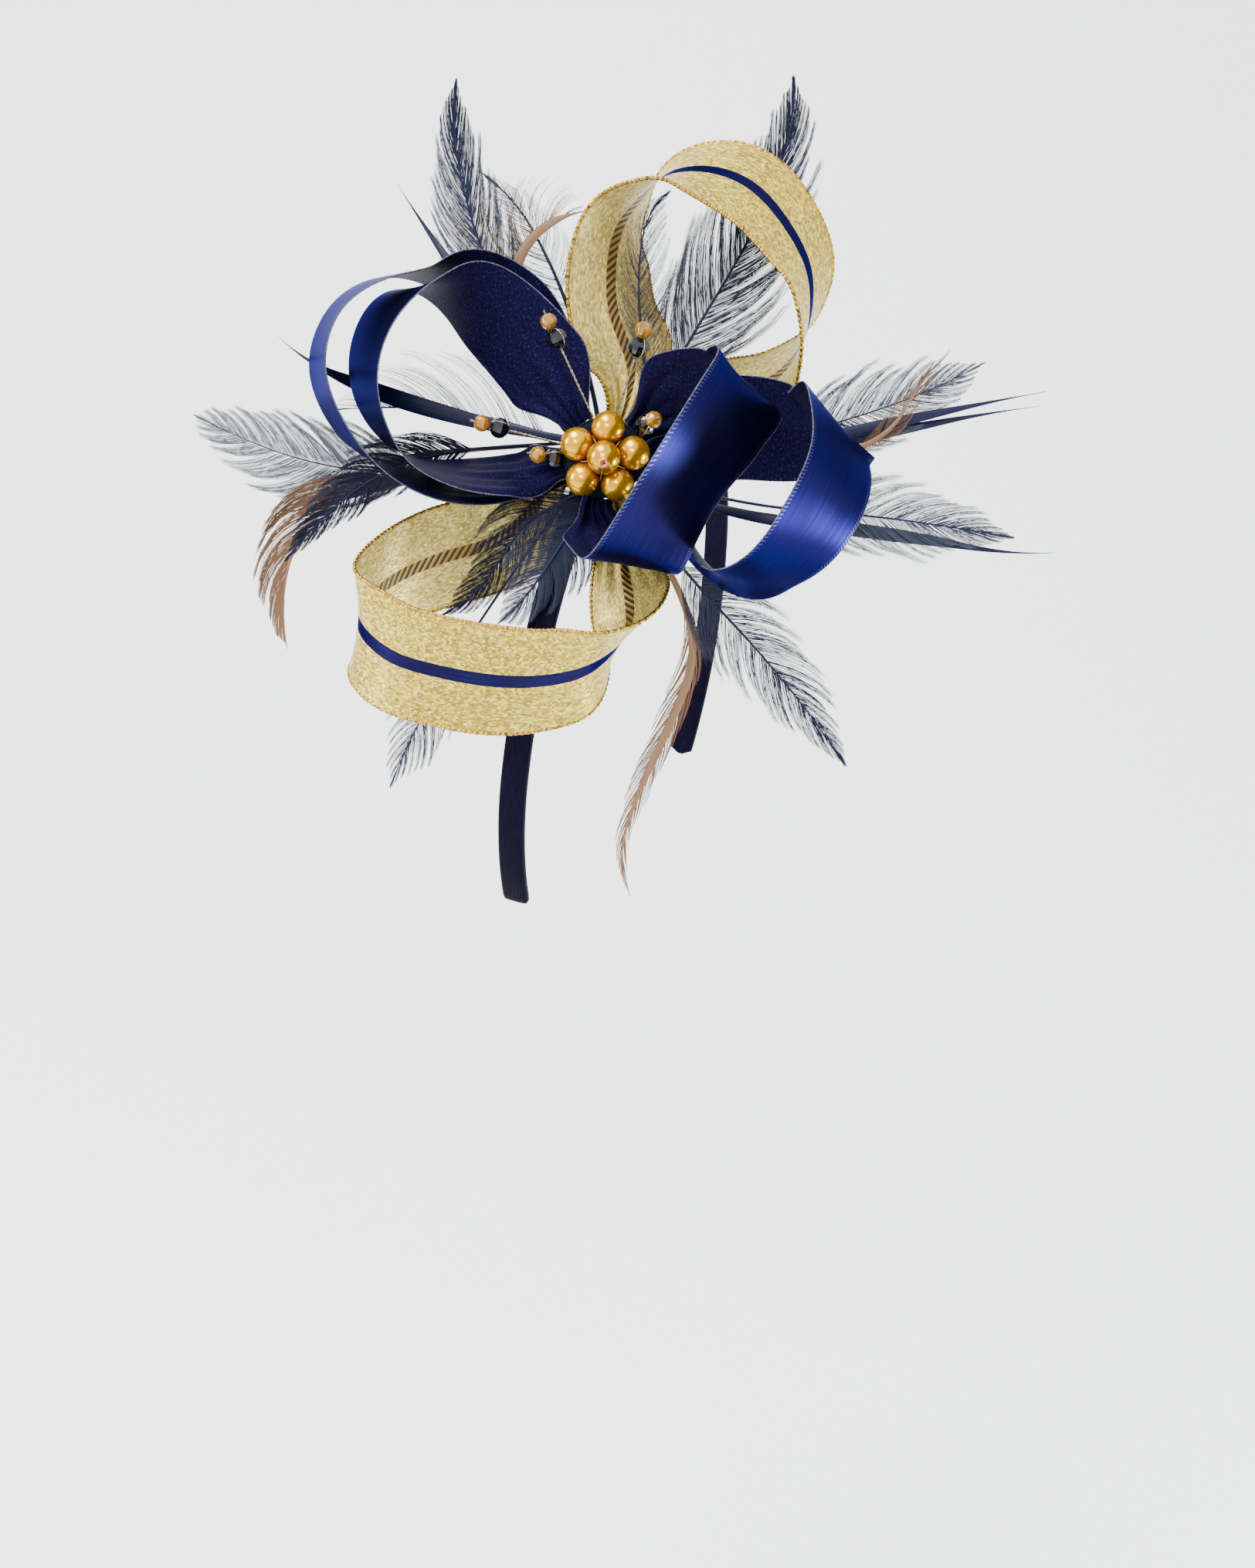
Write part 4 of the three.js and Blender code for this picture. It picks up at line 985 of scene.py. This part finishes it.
def petal_places():
    pitch = PEARL_DIAMETER + GAP
    ring = pitch / 2 / math.sin(math.pi / PETALS)
    level = CORE_TOP + GAP + PEARL_DIAMETER / 2
    places = []
    for p in range(PETALS):
        place = direction(PETAL_START + 360 * p / PETALS, 0) * ring
        place.z = level
        places.append(place)
    return places, Vector((0, 0, level + math.sqrt(pitch ** 2 - ring ** 2)))


def flower():
    petals, middle = petal_places()
    for p, place in enumerate(petals):
        pearl_piece(f"petal_{p + 1}_pearl", place, f"pearl_petal_{p + 1}")
    pearl_piece("middle_pearl", middle, "pearl_middle")
    lean = direction(270, 90 - SEED_BEAD_LEAN)
    seat = middle + lean * (PEARL_DIAMETER / 2 + GAP + SEED_BEAD_THICKNESS / 2)
    bpy.ops.mesh.primitive_torus_add(
        major_segments=28, minor_segments=14, major_radius=SEED_BEAD_RADIUS * 0.68,
        minor_radius=SEED_BEAD_RADIUS * 0.42, location=seat,
        rotation=lean.to_track_quat("Z", "Y").to_euler())
    dress(just_added("seed_bead_glass", COPPER), "copper_bead", "seed_bead")
    threads = Gatherer()
    for p in range(PETALS):
        far = (petals[p] + petals[(p + 1) % PETALS]) / 2 + Vector((0, 0, 1.2))
        top = np.array(seat - lean * 0.6)
        out = unit(np.array([far.x, far.y, 0.0]))
        over = np.array(middle) + out * PEARL_DIAMETER * 0.62 + np.array([0, 0, 1.6])
        threads.strand(bent(top, over, np.array(far), 14), FLOWER_THREAD_RADIUS)
    dress(threads.piece("flower_threads", [COPPER]), "copper_bead")


def stamen_line(angle, right, up, out):
    start = np.array(socket(angle, STAMEN_LEVEL, GAP))
    tip = np.array([right, up, out]) * STAMEN_REACH
    knee = (start + tip) / 2 + np.array([0, 0, STAMEN_BOW])
    line = bent(start, knee, tip, 160)
    return line, distances(line)


def bead_on(name, line, run, back, diameter, height, segments, rings, material, slot, node):
    """A faceted bead threaded on a wire, its middle a given length back from the wire's end."""
    place = sampled([run[-1] - back], run, line)[0]
    ahead = Vector(line[-1] - line[0]).normalized()
    bpy.ops.mesh.primitive_uv_sphere_add(
        segments=segments, ring_count=rings, radius=diameter / 2, location=Vector(place),
        rotation=ahead.to_track_quat("Z", "Y").to_euler(), scale=(1, 1, height / diameter * 1.08))
    bead = just_added(name, material)
    bevel(bead, 0.08 * MM, 1)
    dress(bead, slot, node, angle=0)
    return place


def stamen(name, spec):
    line, run = stamen_line(*spec)
    body = Gatherer()
    count = int(run[-1] / WIRE_PITCH * 10)
    at = np.linspace(0, run[-1] + 0.7, count)
    core = sampled(at, run, line)
    beyond = np.clip(at - run[-1], 0, None)
    core += beyond[:, None] * unit(line[-1] - line[-5])
    normals, others = untwisted(core)
    for strand in range(2):
        turn = 2 * math.pi * at / WIRE_PITCH + math.pi * strand
        path = core + WIRE_STRAND * 0.9 * (
            np.cos(turn)[:, None] * normals + np.sin(turn)[:, None] * others)
        body.strand(path, WIRE_STRAND)
    bead_on(
        name + "_champagne_bead", line, run, TIP_BEAD_HEIGHT / 2 + GAP, TIP_BEAD_DIAMETER,
        TIP_BEAD_HEIGHT, 10, 7, CHAMPAGNE, "amber_bead", name + "_amber")
    middle = bead_on(
        name + "_navy_bead", line, run, TIP_BEAD_HEIGHT + 2 * GAP + NAVY_BEAD_HEIGHT / 2,
        NAVY_BEAD_DIAMETER, NAVY_BEAD_HEIGHT, 12, 7, NAVY_GLASS, "navy_bead", name + "_navy")
    ahead = unit(line[-1] - line[0])
    sideways = unit(np.cross(ahead, [0.0, 0.0, 1.0]))
    outward = np.cross(sideways, ahead)
    turn = np.linspace(-0.35 * math.pi, 1.15 * math.pi, 26)
    leaning = unit(sideways * 0.55 + outward * 0.85)
    loop = (
        middle + ahead * (NAVY_BEAD_HEIGHT / 2 + 0.45) * np.cos(turn)[:, None]
        + leaning * (NAVY_BEAD_DIAMETER / 2 + 0.3) * np.sin(turn)[:, None])
    body.strand(loop, WIRE_STRAND * 0.8)
    dress(body.piece(name + "_twisted_wire", [SILVER]), "silver_wire", name + "_wire")


def hair_band():
    t = np.linspace(0, 1, BAND_STATIONS)
    side = np.where(t < 0.5, -1, 1)
    u = np.where(t < 0.5, t, 1 - t)
    offset = BAND_THICKNESS / 2
    half_width = BAND_HALF_WIDTH + offset
    down = np.clip(1 - u / BAND_LEG_SHARE, 0, 1)
    angle = math.pi / 2 * np.clip((0.5 - u) / (0.5 - BAND_LEG_SHARE), 0, 1)
    leg = u < BAND_LEG_SHARE
    x = side * np.where(leg, half_width - BAND_LEG_INSET * down ** 2, half_width * np.sin(angle))
    z = np.where(
        leg, -BAND_ARCH_HEIGHT - BAND_LEG_LENGTH * down,
        -BAND_ARCH_HEIGHT + (BAND_ARCH_HEIGHT + offset) * np.cos(angle))
    line = np.stack([x, np.zeros(BAND_STATIONS), z], 1)
    ahead = unit(np.gradient(line, axis=0))
    across = np.tile([0.0, 1.0, 0.0], (BAND_STATIONS, 1))
    facing = np.cross(ahead, across)
    turns = circle(BAND_SIDES)
    wide = np.sign(np.cos(turns)) * np.abs(np.cos(turns)) ** BAND_SQUARENESS * BAND_WIDTH / 2
    thick = np.sign(np.sin(turns)) * (
        np.abs(np.sin(turns)) ** (BAND_SQUARENESS * 1.6)) * BAND_THICKNESS / 2
    share = np.minimum(t, 1 - t)
    finish = np.sqrt(np.clip(share / 0.006, 0.05, 1))
    points, faces = skin(
        beside(line, across, facing, finish[:, None] * wide, finish[:, None] * thick))
    band = new_piece(
        "satin_band", points * MM, faces, [BAND_CLOTH], uvs=wrapped(wide, distances(line)))
    dress(band, "band_satin", "hair_band", angle=50)


def binding_thread():
    """The thread wound round the core, turn on turn, over the roots of all it carries."""
    levels = CORE_TOP - BINDING_RADIUS - BINDING_FOOT
    turns = levels / BINDING_PITCH
    run = np.linspace(0, 1, int(turns * 34))
    angle = 2 * math.pi * turns * run
    reach = CORE_RADIUS + GAP
    line = np.stack([
        reach * np.cos(angle), reach * np.sin(angle), BINDING_FOOT + levels * run], 1)
    coil = Gatherer()
    coil.strand(line, BINDING_RADIUS, BINDING_SIDES)
    dress(coil.piece("core_thread", [CORE_CLOTH]), "navy_cloth")


def bound_core():
    """The bound stems: the solid's own shape with its edges rounded."""
    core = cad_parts["core"].copy()
    core.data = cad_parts["core"].data.copy()
    for key in list(core.keys()):
        del core[key]
    core.name = "core_binding"
    core.parent = None
    bpy.context.scene.collection.objects.link(core)
    only(core)
    bpy.ops.object.mode_set(mode="EDIT")
    bpy.ops.mesh.select_all(action="SELECT")
    bpy.ops.mesh.remove_doubles(threshold=0.01 * MM)
    bpy.ops.object.mode_set(mode="OBJECT")
    bevel(core, 1.2 * MM, 3)
    core.data.materials.clear()
    core.data.materials.append(CORE_CLOTH)
    dress(core, "navy_cloth", "core", angle=50)


def studio():
    """The photograph's view, a plain pale floor and soft light."""
    turn, rise = math.radians(VIEW_TURN), math.radians(VIEW_RISE)
    back = Vector((
        math.sin(turn) * math.cos(rise), -math.cos(turn) * math.cos(rise), math.sin(rise)))
    level = Vector((math.cos(turn), math.sin(turn), 0))
    upright = back.cross(level)
    right = level * math.cos(VIEW_ROLL) + upright * math.sin(VIEW_ROLL)
    up = back.cross(right)
    data = bpy.data.cameras.new("view")
    data.lens = VIEW_LENS
    data.sensor_width = 36
    data.clip_start = 0.01
    data.clip_end = 20
    camera = bpy.data.objects.new("view", data)
    place = Vector(VIEW_TARGET) + back * VIEW_DISTANCE
    turned = Matrix((right, up, back)).transposed().to_4x4()
    camera.matrix_world = Matrix.Translation(place) @ turned
    bpy.context.scene.collection.objects.link(camera)
    bpy.context.scene.camera = camera

    bpy.ops.mesh.primitive_plane_add(size=FLOOR_SIZE, location=(0, -FLOOR_FORWARD, FLOOR_LEVEL))
    floor = bpy.context.object
    floor.name = "floor"
    settle(floor, Matrix.Rotation(turn, 4, "Z"))
    bpy.ops.object.mode_set(mode="EDIT")
    bpy.ops.mesh.select_mode(type="EDGE")
    bpy.ops.mesh.select_all(action="DESELECT")
    shape = bmesh.from_edit_mesh(floor.data)
    behind = Matrix.Rotation(turn, 4, "Z") @ Vector(
        (0, FLOOR_SIZE / 2 - FLOOR_FORWARD, FLOOR_LEVEL))
    for edge in shape.edges:
        middle = (edge.verts[0].co + edge.verts[1].co) / 2
        edge.select_set((middle - behind).length < 0.01)
    bmesh.update_edit_mesh(floor.data)
    bpy.ops.mesh.extrude_region_move(TRANSFORM_OT_translate={"value": (0, 0, SWEEP_HEIGHT)})
    bpy.ops.object.mode_set(mode="OBJECT")
    bevel(floor, SWEEP_RADIUS, 24)
    bpy.ops.object.shade_smooth()
    paper, tree, shader = new_material("pale paper", Roughness=0.9)
    shader.inputs["Base Color"].default_value = linear("#f7f7f5")
    floor.data.materials.append(paper)

    world = bpy.data.worlds.new("pale room")
    world.use_nodes = True
    world.node_tree.nodes["Background"].inputs["Color"].default_value = linear("#eceff2")
    world.node_tree.nodes["Background"].inputs["Strength"].default_value = 2.55
    bpy.context.scene.world = world

    hub = Vector((-0.06, -0.02, 0.0))
    lights = (
        ("window", right * -0.7 + up * 1.9 + back * 1.1, (1.5, 1.0), 100, "#ffffff"),
        ("right window", right * 0.95 + up * -0.42 + back * 0.02, (0.26, 0.26), 13, "#e0f2ff"),
        ("front", right * -0.3 + up * 0.3 + back * 1.7, (0.6, 0.3), 14, "#ffffff"),
        ("left window", right * -1.5 + up * 0.35 + back * 0.4, (0.35, 0.6), 20, "#f0f8ff"))
    for name, offset, size, power, colour in lights:
        lamp = bpy.data.lights.new(name, "AREA")
        lamp.shape = "RECTANGLE"
        lamp.size, lamp.size_y = size
        lamp.energy = power
        lamp.color = linear(colour)[:3]
        holder = bpy.data.objects.new(name, lamp)
        holder.matrix_world = (
            Matrix.Translation(hub + offset) @ offset.to_track_quat("Z", "Y").to_matrix().to_4x4())
        bpy.context.scene.collection.objects.link(holder)


studio()
hair_band()
bound_core()
binding_thread()
for loop_name, loop_spec in LOOPS.items():
    ribbon_piece(loop_name, loop_spec)
for seed, (feather_name, feather_spec) in enumerate(FEATHERS.items()):
    feather_piece(feather_name, feather_spec, np.random.default_rng(seed + 1))
flower()
for stamen_name, stamen_spec in STAMENS.items():
    stamen(stamen_name, stamen_spec)
